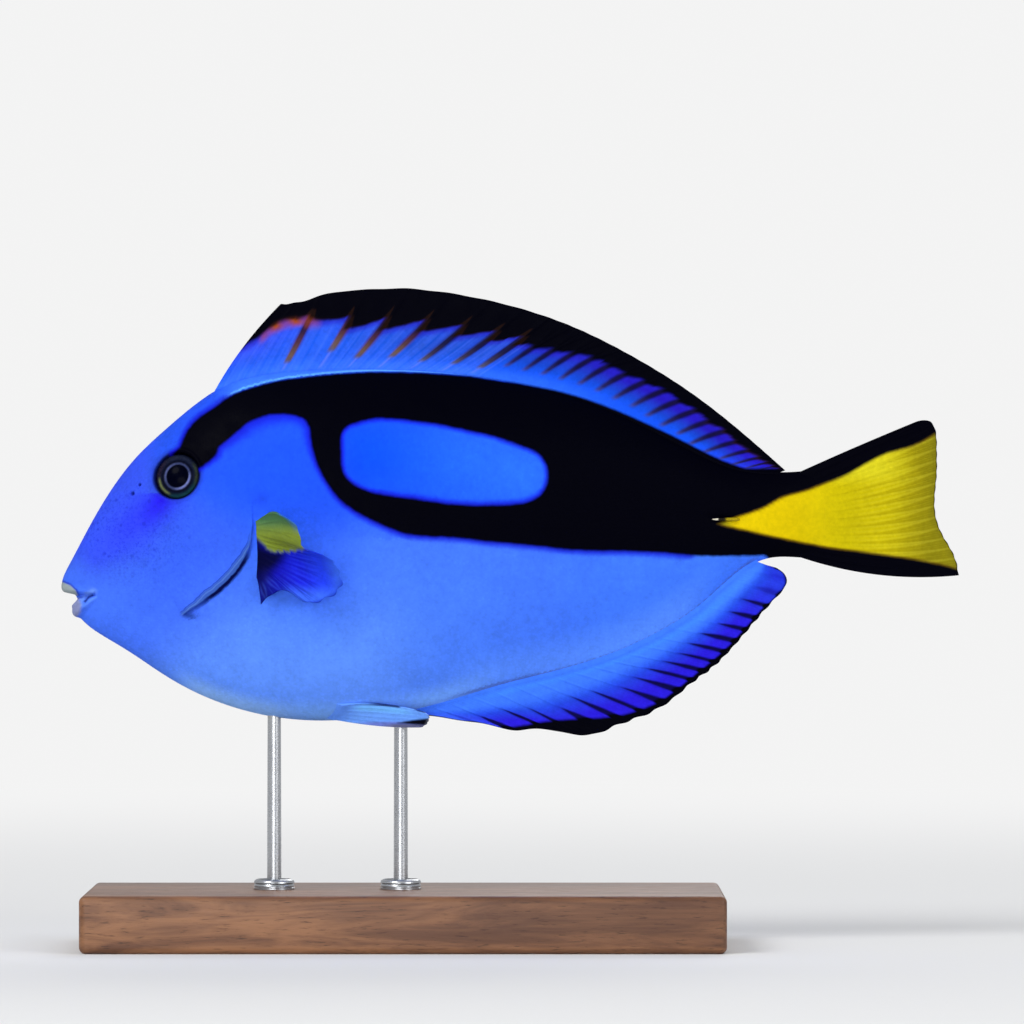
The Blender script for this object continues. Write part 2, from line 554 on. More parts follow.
def rgba(colour):
    return (*linear(colour), 1.0)


def fish_material(name, fin, grain_height, edge_noise, speckle):
    """The fish's own finish: its paint with mottling and speckle, the black marking with a soft, slightly
    uneven edge, and fine scales, or fine lines along the rays on a fin."""
    n = Nodes(name)
    n.surface(specular=0.018)
    where = n.place()
    shade = n.times(n.spread(n.noise(where, 110.0, 5.0, 0.65), 0.3, 0.7, 0.93, 1.07, False),
                    n.spread(n.noise(where, 1300.0, 2.0, 0.6), 0.3, 0.7, 1 - speckle, 1 + speckle, False))
    shade = n.times(shade, n.spread(n.noise(where, 620.0, 3.0, 0.6), 0.3, 0.7, 0.94, 1.06, False))
    colour = n.shaded(n.attribute("paint", "Color"), shade)
    wander = n.times(n.math("SUBTRACT", n.noise(where, 420.0, 3.0), 0.5), edge_noise)
    depth = n.math("ADD", n.attribute("black"), wander)
    if fin:
        lines = n.times(n.attribute("ray_grain"), 0.8)
        strength, height = 0.35, n.math("ADD", lines, n.times(n.noise(where, 2400.0, 2.0), 0.4))
    else:
        colour = freckles(n, where, gill_edges(n, where, colour))
        halo = n.attribute("halo")
        near = n.spread(depth, n.math("MULTIPLY_ADD", halo, -4.0, -0.5), -0.3, 0.0, 0.85)
        colour = n.mix(n.times(near, n.spread(halo, 0.0, 0.3)), colour, rgba(DEEP_BLUE))
        scales = n.cells(n.stretched(where, (0.8, 1.0, 1.15)), 1 / BUMP_SCALE_SIZE)
        strength, height = 0.5, n.math("SUBTRACT", n.times(n.noise(where, 3000.0, 2.0), 0.35), scales)
    colour = n.mix(n.spread(depth, -0.62, 0.36), colour, rgba(BLACK))
    roughness = n.spread(n.noise(where, 260.0, 3.0), 0.3, 0.7, 0.42, 0.56, False)
    return n.finish(colour, roughness, height, strength, grain_height)


def freckles(n, where, colour):
    """Small dark spots and finer specks over the snout."""
    freckled = n.attribute("freckle")
    for cell_size, share, strength, spot_colour in FRECKLES:
        parts = n.add("ShaderNodeSeparateColor")
        n.link(n.cells(where, 1 / cell_size, "Color"), parts.inputs[0])
        size = n.spread(parts.outputs[0], 1 - share, 1.0, 0.0, 0.46, False)
        dot = n.spread(n.math("SUBTRACT", size, n.cells(where, 1 / cell_size)), -0.06, 0.26)
        colour = n.mix(n.times(n.times(dot, strength), freckled), colour, rgba(spot_colour))
    specks = n.spread(n.noise(where, 1700.0, 2.0, 0.7), 0.5, 0.63, 0.0, 0.5)
    return n.mix(n.times(specks, freckled), colour, rgba(SPECK))


def gill_edges(n, where, colour):
    """The soft grey flap along the gill cover's rear edge, its fine front line, and the dark opening."""
    parts = n.add("ShaderNodeSeparateXYZ")
    n.link(n.attribute("gill", "Vector"), parts.inputs[0])
    true_behind, flap, shown = parts.outputs
    wavy = n.times(n.math("SUBTRACT", n.noise(where, 420.0, 3.0), 0.5), 0.9)
    behind = n.math("ADD", true_behind, wavy)
    inner = n.math("ADD", behind, flap)
    within = n.times(n.spread(inner, -0.1, 0.5), n.spread(behind, -0.1, 0.25, 1.0, 0.0))
    line = n.spread(n.math("ABSOLUTE", inner), 0.04, 0.26, 0.6, 0.0)
    light = n.spread(n.math("ABSOLUTE", n.math("SUBTRACT", inner, 0.7)), 0.05, 0.3, 0.22, 0.0)
    for share, tone in ((n.times(within, 0.85), MEMBRANE_GREY), (line, GILL_LINE), (light, GILL_LIGHT)):
        colour = n.mix(n.times(share, shown), colour, rgba(tone))
    dark = n.times(n.spread(behind, -0.2, 0.15), n.spread(behind, 0.55, 1.3, 1.0, 0.0))
    return n.mix(n.times(dark, n.attribute("gill_dark")), colour, rgba(GILL_OPENING))


# The skin


# How far apart the skin's rings are, at distances behind the nose
STATION_KNOTS = [(0.0, 0.02), (0.3, 0.13), (10.0, 0.15), (15.0, 0.45), (50.0, 0.45), (60.0, 1.05),
                 (188.5, 1.15)]
RING_POINTS = 256
STALK_THINNING = 0.42  # the share of its thickness that the tail stalk's skin loses towards the tail's root
BUMP_SCALE_SIZE = 0.00085  # the spacing in metres of the fine scales in the finish


def skin_stations():
    """Places of the skin's rings, close together at the mouth and over the head."""
    places, (where, steps) = [0.0], zip(*STATION_KNOTS)
    while places[-1] < BODY_END_X - NOSE_X:
        places.append(places[-1] + float(np.interp(places[-1], where, steps)))
    places = np.array(places[1:])
    return NOSE_X + places * (BODY_END_X - NOSE_X) / places[-1]


def skin_grid():
    """The body's loft as vertices, faces and map, with the seam of the map along the belly."""
    stations = skin_stations()
    turns = np.linspace(0, 2 * np.pi, RING_POINTS, endpoint=False) - np.pi / 2
    height, sign = np.sin(turns), np.sign(np.round(np.cos(turns), 9))
    x = np.repeat(stations[:, None], RING_POINTS, axis=1)
    rings = np.stack([x, sign * half_section(x, height), at_height(x, height)], axis=-1)
    ends = [(x, 0.0, float(widest(x))) for x in (NOSE_X, BODY_END_X)]
    vertices = [ends[0], *rings.reshape(-1, 3), ends[1]]
    steps = np.linalg.norm(np.diff(rings, axis=0), axis=-1).mean(1)
    u = [0.01, *(0.02 + 0.96 * np.concatenate([[0], np.cumsum(steps)]) / steps.sum()), 0.99]
    faces, corners = tube(len(stations), RING_POINTS, capped=True)
    return vertices, faces, [(u[i + 1], 0.01 + 0.98 * j / RING_POINTS) for i, j in corners]


def points_of(mesh):
    """A mesh's vertices and their normals, in millimetres."""
    places, normals = np.zeros(len(mesh.vertices) * 3), np.zeros(len(mesh.vertices) * 3)
    mesh.vertices.foreach_get("co", places)
    mesh.vertex_normals.foreach_get("vector", normals)
    return places.reshape(-1, 3) / MM, normals.reshape(-1, 3)


def move_points(mesh, places):
    mesh.vertices.foreach_set("co", (places * MM).ravel())
    mesh.update()


def refine(mesh, wanted):
    """Halves the faces of a mesh whose corners are all wanted, and lays the new points on the flank."""
    work = bmesh.new()
    work.from_mesh(mesh)
    edges = [e for e in work.edges if wanted[e.verts[0].index] and wanted[e.verts[1].index]]
    known = len(work.verts)
    bmesh.ops.subdivide_edges(work, edges=edges, cuts=1, use_grid_fill=True)
    work.to_mesh(mesh)
    work.free()
    places, _ = points_of(mesh)
    x, y, z = places[known:].T
    places[known:, 1] = np.where(np.abs(y) > 2, np.copysign(flank(x, z), y), y)
    move_points(mesh, places)


def eye_axis(side):
    """A point on the skin at the eye, and the direction that the eye looks in."""
    return flank_point(*EYE_AT, side), flank_normal(*EYE_AT, side, 3.0)


def on_right(places):
    """Places with those of the fish's left side mirrored to its right."""
    return np.column_stack([places[:, 0], np.abs(places[:, 1]), places[:, 2]])


def from_eye(places, shift=(0, 0, 0)):
    """Distance of each place from the axis of the eye on its own side."""
    point, axis = eye_axis(1)
    return from_axis(on_right(places), point + Vector(shift), axis)


def from_nostrils(places):
    """The radius of each nostril and the distance of each place from it, on the place's own side."""
    return [(radius, from_axis(on_right(places), flank_point(x, z, 1), flank_normal(x, z, 1)))
            for x, z, radius in NOSTRILS]


def from_axis(places, point, axis):
    """Distance of each place from a line."""
    offset = places - np.array(point)
    return np.linalg.norm(np.cross(offset, np.array(axis)), axis=-1)


def gill_lines(x, z):
    """Place along the gill cover's rear edge and distance behind it, with the soft flap's width and how open
    the slit is there."""
    along, behind = beside(x, z, COVER_EDGE)
    flap = 1.6 * ramp(along, 0.35, 0.62) * (1 - 0.55 * ramp(along, 0.8, 1.0))
    opened = (0.3 + 0.7 * ramp(along, 0.42, 0.55)) * ramp(along, 0.27, 0.42) * (1 - ramp(along, 0.975, 1.0))
    return along, behind, flap, opened


def relief(places):
    """How far the skin stands out of the plain body, in millimetres, apart from the mouth."""
    x, y, z = places.T
    r = from_eye(places)
    total = 0.42 * bump(r - 6.5, 0.6) - 2.5 * ramp(r, 5.95, 5.35) + 0.25 * bump(r - 8.2, 1.6)
    for radius, r in from_nostrils(places):
        total += 0.15 * bump(r - 1.7 * radius, 0.5 * radius) - 0.6 * ramp(r, 1.1 * radius, 0.5 * radius)
    along, behind, flap, opened = gill_lines(x, z)
    cover = 0.6 * ramp(behind, -14.0, -1.5) * ramp(along, 0.1, 0.4) * ramp(along, 1.0, 0.94)
    ledge = 0.16 * ramp(behind, -flap - 0.25, -flap + 0.15) * ramp(along, 0.4, 0.6)
    slit = -0.45 * opened * ramp(behind, 0.25, 0.5) * ramp(behind, 2.0, 0.75)
    total += np.where(behind < 0.3, cover - ledge, 0) + slit
    along, away = beside(x, z, CHEEK_CREASE)
    total -= 0.16 * bump(away, 0.9) * ramp(along, 0.0, 0.3) * ramp(along, 1.0, 0.7)
    total += 0.5 * bump(beside(x, z, PECTORAL_PAD)[1], 1.5) * ramp(z, 88.5, 92.0) * ramp(z, 106.0, 102.5)
    along, away = beside(x, z, SCALPEL_GROOVE)
    return total - 0.5 * bump(away, 0.9) * ramp(np.abs(along - 0.5), 0.5, 0.34)


def lip_distance(places, front, corner, radius):
    """Distance from a lip's surface, negative inside it."""
    half = float(flank(*corner))
    nearest = np.full(len(places), 1e9)
    for a in np.linspace(-1, 1, 61):
        middle = (front[0] + (corner[0] - front[0]) * a**4, a * half,
                  front[1] + (corner[1] - front[1]) * abs(a)**3)
        nearest = np.minimum(nearest, np.linalg.norm(places - middle, axis=-1) - radius * (1 - 0.65 * a * a))
    return nearest


def soft_min(a, b, width):
    blend = np.clip(0.5 + 0.5 * (b - a) / width, 0, 1)
    return b * (1 - blend) + a * blend - width * blend * (1 - blend)


def mouth(places, normals):
    """The skin round the mouth: each point is moved to the first place, from outside in, where the body
    with its lips and without the gape begins."""
    near = ramp(places[:, 0], -98.0, -100.6) * ramp(places[:, 2], 92.5, 91.0)
    picked = np.flatnonzero(near > 0)
    start, out = places[picked], normals[picked]
    heading = out * (1, 1, 0.3)
    heading /= np.linalg.norm(heading, axis=1, keepdims=True)
    gain = (heading * out).sum(1)
    deepest = -(0.9 + 3.1 * np.clip(-heading[:, 0], 0, 1)**2)

    def outside(t):
        spot = start + heading * t[:, None]
        lips = np.minimum(lip_distance(spot, **UPPER_LIP), lip_distance(spot, **LOWER_LIP))
        solid = soft_min(t * gain, lips, 0.7)
        return -soft_min(-solid, -inside(spot[:, 0], spot[:, 2], GAPE), 0.25)

    travel, step = np.full(len(picked), 2.2), 0.13
    found = np.zeros(len(picked), bool)
    while not found.all():
        found |= (outside(travel) <= 0) | (travel <= deepest)
        travel = np.where(found, travel, travel - step)
    high, low = travel + step, travel
    for _ in range(6):
        middle = (high + low) / 2
        solid = outside(middle) <= 0
        low, high = np.where(solid, middle, low), np.where(solid, high, middle)
    moved = places.copy()
    moved[picked] = start + heading * (np.maximum(low, deepest) * near[picked])[:, None]
    return moved, picked


def skin_paint(places):
    """The blues of the skin, from named tints that shade into one another, and the small markings."""
    x, y, z = places.T
    total, paint = np.full(len(x), 1e-9), np.zeros((len(x), 3))
    for (tint_x, tint_z), size, colour in SKIN_TINTS:
        away = np.hypot(x - tint_x, z - tint_z)
        weight = np.exp(-(away / size)**2) + 1e-7 / (1 + away)
        total += weight
        paint += weight[:, None] * linear(colour)
    paint /= total[:, None]
    depth = black_depth(x, z)
    in_oval = linear(PATCH_BLUE) + ramp(x, -40, 5)[:, None] * (linear(PATCH_REAR) - linear(PATCH_BLUE))
    paint = np.where((in_patch(x, z) > -3)[:, None], in_oval, paint)
    along, away = beside(x, z, UNDER_EYE)
    above_band = beside(x, z, smooth_line(BAND_TOP, 40))[1]
    over_band = ramp(above_band, 0.0, 0.3) * ramp(x, -74, -66)
    low_edge = z - belly(x)
    paint = tinted(paint, [
        ((30, 78, 250), 0.45 * np.exp(np.minimum(depth, 0) / 5.0) * (x < 10) * (z > 100)),
        (PURPLE, 0.97 * bump(away, 4.4) * (1 - 0.62 * ramp(along, 0.2, 1.0)) * (z < 111)),
        ((52, 78, 246), 0.5 * ramp(x, -84, -92) * ramp(z, 92, 100)),
        ((62, 122, 252), 0.75 * over_band),
        (PALE_LINE, 0.95 * over_band * bump(above_band - 0.5, 0.26) * (1 - 0.85 * ramp(x, 5, 45))),
        ((144, 192, 255), 0.8 * ramp(low_edge, 5.5, 0.5) * ramp(x, -84, -74) * ramp(x, -46, -60)),
        ((122, 176, 255), 0.8 * ramp(low_edge, 6.5, 0.5) * ramp(x, -60, -46) * ramp(x, 0, -14)),
        ((96, 150, 255), 0.5 * ramp(low_edge, 12.0, 2.0) * ramp(x, -24, -8) * ramp(x, 52, 38)),
        ((66, 76, 150), 0.62 * ramp(x, -20, -8) * ramp(x, 61, 58) * bump(low_edge - 0.85, 0.45)),
        ((16, 40, 110), 0.8 * bump(np.hypot((x + 78.3) / 1.8, (z - 81.0) / 0.7), 1.0)),
        ((26, 62, 214), 0.6 * bump(np.hypot(x + 61.0, z - 109.3), 1.6))])
    along, away = beside(x, z, MOUTH_CORNER)
    folds = ramp(x, -106.2, -105.0) * ramp(x, -100.4, -102.4)
    upper, lower = inside(x, z, UPPER_GREY), inside(x, z, LOWER_GREY)
    rim, wide = from_eye(places), from_eye(places, (0.35, 0, 0.2))
    pits = [((18, 36, 130), 0.85 * ramp(r, 1.5 * radius, 0.4 * radius))
            for radius, r in from_nostrils(places)]
    paint = tinted(paint, [
        ((104, 144, 226), 0.75 * bump(away - 0.9, 0.65) * folds),
        ((92, 140, 246), 0.6 * bump(away + 0.75, 0.5) * folds),
        ((14, 26, 104), 0.92 * bump(away, 0.33) * ramp(along, -0.001, 0.12) * ramp(along, 1.001, 0.9)),
        ((26, 44, 150), 0.75 * bump(upper, 0.3) * (z > 85.9)),
        (UPPER_LIP_GREY, 0.92 * ramp(upper, 0.0, 0.4)),
        (LOWER_LIP_GREY, 0.85 * ramp(lower, -0.2, 0.9)),
        ((30, 50, 160), 0.6 * ramp(wide, 7.4, 6.2)),
        ((9, 15, 58), ramp(np.minimum(wide, rim + 0.2), 6.5, 5.75)),
        *pits])
    yellow = (in_yellow(x, z) > -2.0) & (x > YELLOW_FROM_X)
    return np.where(yellow[:, None], tail_colour(x, z), paint), depth


def tail_colour(x, z):
    """The yellow of the tail at a point of the side view: deep in front, olive towards the margin."""
    return tinted(plain(ORANGE_YELLOW, x), [
        ((128, 134, 30), 0.8 * ramp(x, 55.0, 51.0)),
        (YELLOW, ramp(x, 64, 84)),
        (OLIVE, 0.9 * ramp(x, 90, 104.5)),
        ((84, 50, 6), 0.85 * ramp(in_yellow(x, z), 0.9, 0.1))])


def dress(mesh, places, paint, depth):
    """Writes what the skin's material reads: colours, black marking, gill edges and freckles."""
    give_colours(mesh, paint, depth)
    x, z = places[:, 0], places[:, 2]
    snout = bump(np.hypot((x + 93.5) * 0.85, z - 103.0), 10.5) * (1 - 0.6 * ramp(z, 112, 118))
    along, behind, flap, opened = gill_lines(x, z)
    dark = opened * (0.25 + 0.75 * ramp(along, 0.46, 0.57)) * (1 - 0.55 * ramp(along, 0.8, 0.9))
    below_arm = bump(np.hypot((x + 61.0) / 1.6, z - 126.0), 7.5)
    halo = (0.25 + 0.75 * below_arm + 0.12 * ramp(x, -50, -30) * (z < 112)) * ramp(x, 47, 42)
    halo *= 1 - ramp(beside(x, z, smooth_line(BAND_TOP, 40))[1], -0.4, 0.0) * ramp(x, -72, -66)
    gill = np.stack([behind, flap, ramp(along, 0.34, 0.5) * ramp(along, 1.0, 0.985)], axis=-1)
    write_values(mesh, freckle=np.clip(1.4 * snout, 0, 1), gill_dark=dark, halo=halo, gill=gill)


def make_skin(finish):
    """One skin from the lips to the tail's root, finest round the mouth, the eyes and the gill openings."""
    mesh = new_mesh("skin", *skin_grid())
    for eye_from, eye_to, pit in ((4.6, 8.4, 3.2), (5.0, 7.0, 2.6)):
        places, _ = points_of(mesh)
        x, y, z = places.T
        r = from_eye(places)
        wanted = (r > eye_from) & (r < eye_to)
        for nostril_x, nostril_z, radius in NOSTRILS:
            wanted |= np.hypot(x - nostril_x, z - nostril_z) < pit * radius + 0.2
        along, behind = beside(x, z, COVER_EDGE)
        if pit > 3:
            wanted |= (behind > -3.2) & (behind < 2.4) & (along > 0.02) & (along < 0.999)
        wanted |= (behind > -0.4) & (behind < 1.1) & (along > 0.3) & (along < 0.99)
        refine(mesh, wanted)
    places, normals = points_of(mesh)
    places = places + normals * relief(places)[:, None]
    places[:, 1] *= 1 - STALK_THINNING * ramp(places[:, 0], 62.0, BODY_END_X)
    move_points(mesh, places)
    moved, picked = mouth(*points_of(mesh))
    move_points(mesh, moved)
    soften(mesh, picked)
    places, _ = points_of(mesh)
    dress(mesh, places, *skin_paint(places))
    return hand_over(new_object("skin", mesh), finish, "skin",
                     "head", "torso", "tail_stalk", "gill_cover_left", "gill_cover_right")


SCALES_FROM_X, SCALES_TO_X = -103.0, 74.0
SCALE_STEPS = [(-104, 0.68), (-84, 0.75), (-60, 0.92), (76, 0.92)]
# A scale's rim and crest: along the body and up, in shares of the step between scales, and out of the skin,
# in millimetres. The rim lies in the skin.
SCALE_SHAPE = [(-0.75, 0.0, -0.02), (-0.08, -0.60, -0.02), (0.46, -0.40, -0.02), (0.70, 0.0, -0.02),
               (0.46, 0.40, -0.02), (-0.08, 0.60, -0.02), (0.34, 0.0, 0.034)]
SCALE_FACES = [(0, 1, 6), (1, 2, 6), (2, 3, 6), (3, 4, 6), (4, 5, 6), (5, 0, 6)]


def scale_places(side):
    """Where the scales sit on one flank: rows of places along the half-rings, each with one in the map."""
    turns = np.linspace(-np.pi / 2, np.pi / 2, 400)
    height = np.sin(turns)
    stations = skin_stations()
    found, shift, x = [], 0.0, SCALES_FROM_X
    while x < SCALES_TO_X:
        step = float(np.interp(x, *zip(*SCALE_STEPS)))
        y, z = half_section(np.full(len(turns), x), height), at_height(x, height)
        arc = np.concatenate([[0], np.cumsum(np.hypot(np.diff(y), np.diff(z)))])
        spots = np.arange(0.45 + shift, arc[-1] - 0.3, step)
        share = np.interp(spots, arc, turns)
        around = (share + np.pi / 2) if side > 0 else (3 * np.pi / 2 - share)
        u = 0.02 + 0.96 * float(np.interp(x, stations, np.linspace(0, 1, len(stations))))
        found.append(np.column_stack([
            np.full(len(spots), x), side * np.interp(spots, arc, y), np.interp(spots, arc, z),
            np.full(len(spots), step), np.full(len(spots), u), 0.01 + 0.98 * around / (2 * np.pi)]))
        shift = step / 2 - shift
        x += 0.82 * step
    return np.concatenate(found)


def bare(places):
    """Where no scales grow: lips, eye, nostrils, gill opening, and the roots of the fins."""
    x, y, z = places.T
    along, behind, flap, _ = gill_lines(x, z)
    gone = (behind > -flap - 0.5) & (behind < 1.7) & (along > 0.3) & (along < 0.999)
    gone |= (np.hypot(x + 105, z - 85.5) < 7.5) | (np.hypot(x + 61.2, (z - 97) / 1.9) < 5.0)
    gone |= (np.abs(z - 104.4) < 1.6) & (x > 46) & (x < 58.5)
    gone |= (np.hypot(x + 43.0, z - 57.0) < 3.5) | (from_eye(places) < 7.3)
    gone |= (x > -73) & (back(x) - z < 0.9) | (x > -24) & (z - belly(x) < 0.9)
    for nostril_x, nostril_z, _ in NOSTRILS:
        gone |= np.hypot(x - nostril_x, z - nostril_z) < 1.5
    return gone | (in_yellow(x, z) > -0.5) & (x > 45)


def make_scales(name, side, skin_mesh, finish):
    """One flank's coat of small scales that overlap to the rear."""
    spots = scale_places(side)
    draw = np.random.default_rng(40 + side)
    spots[:, [0, 2]] += draw.uniform(-0.13, 0.13, (len(spots), 2)) * spots[:, 3:4]
    spots = spots[~bare(spots[:, :3])]
    corners, _ = points_of(skin_mesh)
    polygons = [tuple(p.vertices) for p in skin_mesh.polygons]
    surface = BVHTree.FromPolygons([tuple(c) for c in corners], polygons)
    hits = [surface.find_nearest(Vector(spot)) for spot in spots[:, :3]]
    origin, normal = (np.array([hit[part] for hit in hits]) for part in (0, 1))
    onward = np.array([1.0, 0.0, 0.0]) - normal * normal[:, :1]
    onward /= np.linalg.norm(onward, axis=1, keepdims=True)
    turned_by = draw.normal(0, 0.12, len(spots))[:, None]
    upward = np.cross(normal, onward)
    onward, upward = onward + upward * turned_by, upward - onward * turned_by
    size = (spots[:, 3] * draw.uniform(0.94, 1.08, len(spots)))[:, None, None]
    lift = draw.uniform(0.6, 1.3, len(spots))[:, None, None]
    shape = np.array(SCALE_SHAPE)[None]
    points = (origin[:, None] + onward[:, None] * shape[..., :1] * size
              + upward[:, None] * shape[..., 1:2] * size + normal[:, None] * shape[..., 2:] * lift)
    count = len(SCALE_SHAPE)
    faces = [[k * count + i for i in face] for k in range(len(spots)) for face in SCALE_FACES]
    patch = (spots[:, None, 4:6] + 0.0015 * shape[..., :2]).reshape(-1, 2)
    places = points.reshape(-1, 3)
    paint = skin_paint(origin)[0] * draw.uniform(0.95, 1.05, len(spots))[:, None]
    coat = new_mesh(name, places, faces, patch[np.concatenate(faces)])
    dress(coat, places, np.repeat(paint, count, axis=0), black_depth(places[:, 0], places[:, 2]))
    return hand_over(new_object(name, coat), finish, "skin", "torso")


def soften(mesh, picked):
    """Rounds the edges that the mouth's cut leaves."""
    work = bmesh.new()
    work.from_mesh(mesh)
    work.verts.ensure_lookup_table()
    chosen = [work.verts[i] for i in picked]
    for _ in range(3):
        bmesh.ops.smooth_vert(work, verts=chosen, factor=0.35,
                              use_axis_x=True, use_axis_y=True, use_axis_z=True)
    work.to_mesh(mesh)
    work.free()


# Fins


def spaced(spines, spine_step, soft_rays, total):
    """Places of the rays from 0 to 1: spines spine_step apart, then soft rays that close up to the rear."""
    places = [spine_step * k for k in range(spines)]
    gaps = np.linspace(1.25, 0.75, soft_rays)
    gaps *= (total - places[-1]) / gaps.sum()
    places += list(places[-1] + np.cumsum(gaps))
    return np.array(places) / total


def root_line(edge, first, last):
    """The root of a fin along the back or the belly, as a function of the share of its length."""

    def root(s):
        x = first + (last - first) * s
        return np.stack([x, edge(x)], axis=-1)

    return root


def spanned(start, end, v, bow, inward):
    """Points that run from start at v = 0 to end at v = 1, bowed between them, and sunk inwards below 0."""
    out, sunk = np.maximum(v, 0)[..., None], np.maximum(-v, 0)[..., None]
    return start + (end - start) * out + bow * 4 * out * (1 - out) + np.array(inward) * ROOT_SUNK * sunk


def median_surface(root, margin, lean, bow, wave, inward):
    """A fin in the fish's middle plane, for whole arrays of s across the rays and v along them."""

    def surface(s, v):
        start, end = root(s), margin(lean(s))
        run = end - start
        side = np.stack([-run[..., 1], run[..., 0]], axis=-1) / np.linalg.norm(run, axis=-1, keepdims=True)
        flat = spanned(start, end, v, side * bow(s)[..., None], inward)
        return np.stack([flat[..., 0], wave(s) * np.maximum(v, 0)**2, flat[..., 1]], axis=-1)

    return surface


def nearest_ray(s, rays):
    """The nearest ray's number, the offset from it in spacings, from -0.5 to 0.5, and the spacing."""
    number = np.searchsorted((rays[:-1] + rays[1:]) / 2, s)
    ahead = rays[np.minimum(number + 1, len(rays) - 1)] - rays[number]
    behind = rays[number] - rays[np.maximum(number - 1, 0)]
    spacing = np.where(s >= rays[number], ahead, behind)
    spacing = np.where(spacing <= 0, np.maximum(ahead, behind), spacing)
    return number, (s - rays[number]) / spacing, spacing


class Blade:
    """A fin's surface sampled on a grid, with what its shape and its colours need at each point."""

    def __init__(self, surface, rays, columns, rows, spines, scallop):
        gaps = len(rays) - 1
        self.s = np.interp(np.arange(gaps * columns + 1) / columns, np.arange(len(rays)), rays)[:, None]
        along = np.concatenate([[-1.0, -0.5], np.linspace(0, 1, rows)**0.94])
        self.number, self.phase, spacing = nearest_ray(self.s, rays)
        short = scallop(self.s) * np.sin(np.pi * np.abs(self.phase))**2 * 1.15
        self.v = np.where(along > 0, along * (1 - short), along) + 0 * self.s
        self.share = along[None, :] + 0 * self.s
        self.points = surface(self.s + 0 * self.v, self.v)
        across = np.gradient(self.points, self.s[:, 0], axis=0)
        onward = np.gradient(self.points, axis=1)
        normal = np.cross(across, onward)
        self.normal = normal / np.maximum(np.linalg.norm(normal, axis=-1, keepdims=True), 1e-9)
        self.spacing = np.linalg.norm(across, axis=-1) * spacing
        tips, feet = surface(self.s, 1 + 0 * self.s), surface(self.s, 0 * self.s)
        self.length = np.linalg.norm(tips - feet, axis=-1)
        self.soft = (self.number >= spines).astype(float)
        self.out = np.clip(self.v, 0, 1)
        first = 0.2 * self.soft * ramp(self.out, 0.35, 1.0)
        second = 0.1 * self.soft * ramp(self.out, 0.62, 1.0)
        branch = np.abs(np.abs(np.abs(self.phase) - first) - second)
        self.from_ray = branch * self.spacing
        self.x, self.z = self.points[..., 0], self.points[..., 2]
        self.past = np.where(self.phase < 0, self.phase + 1, self.phase) + 0 * self.v


def fin_piece(node, blade, paint, black, slot_name, finish, root, margin, ridge, ray_width, flare=0.3):
    """The closed mesh of a fin: a membrane with a ridge along each ray and each branch of a ray.

    root and margin are the membrane's thicknesses there, ridge and ray_width are the rays' height and width,
    and flare is how much thicker the fin grows at its foot.
    """
    out = blade.out
    foot = out * blade.length
    spiny = 1 + 0.5 * (1 - blade.soft)
    half = (margin + (root - margin) * (1 - out)**1.6) / 2
    half = (half + flare * np.exp(-foot / 1.1)) * (1 + 0.8 * np.clip(blade.share, -1, 0))
    crest = ridge * spiny * (1 - 0.65 * out) * ramp(foot, 0.5, 5.0)
    half = half + crest * bump(blade.from_ray, ray_width * spiny * (1 - 0.45 * out))
    half = half * np.sqrt(np.clip(1 - (np.clip(blade.share - 0.965, 0, 1) / 0.036)**2, 0.02, 1))
    front, rear = (blade.points + blade.normal * (side * half)[..., None] for side in (1, -1))
    columns, rows = blade.share.shape
    total = columns * rows
    index = np.arange(total).reshape(columns, rows)
    quads = np.stack([index[:-1, :-1], index[1:, :-1], index[1:, 1:], index[:-1, 1:]], axis=-1).reshape(-1, 4)
    ring = np.concatenate([index[:, 0], index[-1, 1:], index[-2::-1, -1], index[0, -2:0:-1]])
    onward = np.roll(ring, -1)
    border = np.stack([onward, ring, ring + total, onward + total], axis=-1)
    uv_front = np.column_stack([0.01 + 0.48 * (blade.s + 0 * out).ravel(), 0.5 + 0.48 * blade.share.ravel()])
    back_quads = quads[:, ::-1]
    uvs = np.concatenate([uv_front[quads], (uv_front + (0.5, 0.0))[back_quads], uv_front[border % total]])
    vertices = np.concatenate([front.reshape(-1, 3), rear.reshape(-1, 3)])
    faces = np.concatenate([quads, back_quads + total, border])
    a, b, c, d = (vertices[faces[:, i]] - vertices.mean(0) for i in range(4))
    if (np.cross(a, b) * c).sum() + (np.cross(a, c) * d).sum() < 0:
        faces, uvs = faces[:, ::-1], uvs[:, ::-1]
    two = lambda values: np.concatenate([values.reshape(total, *values.shape[2:])] * 2)
    mesh = new_mesh(node + "_blade", vertices, faces.tolist(), uvs)
    give_colours(mesh, two(paint), two(black + 0 * out))
    grain = bump(blade.from_ray, 0.22) + 0.5 * np.sin(blade.phase * 40 + blade.number * 1.7) * (out > 0)
    write_values(mesh, ray_grain=two(grain))
    return hand_over(new_object(node + "_blade", mesh), finish, slot_name, node)


def ray_random(blade, seed, low, high):
    """A value drawn for each ray, the same on every run."""
    draw = np.random.default_rng(seed).uniform(low, high, 64)
    return draw[blade.number] + 0 * blade.v


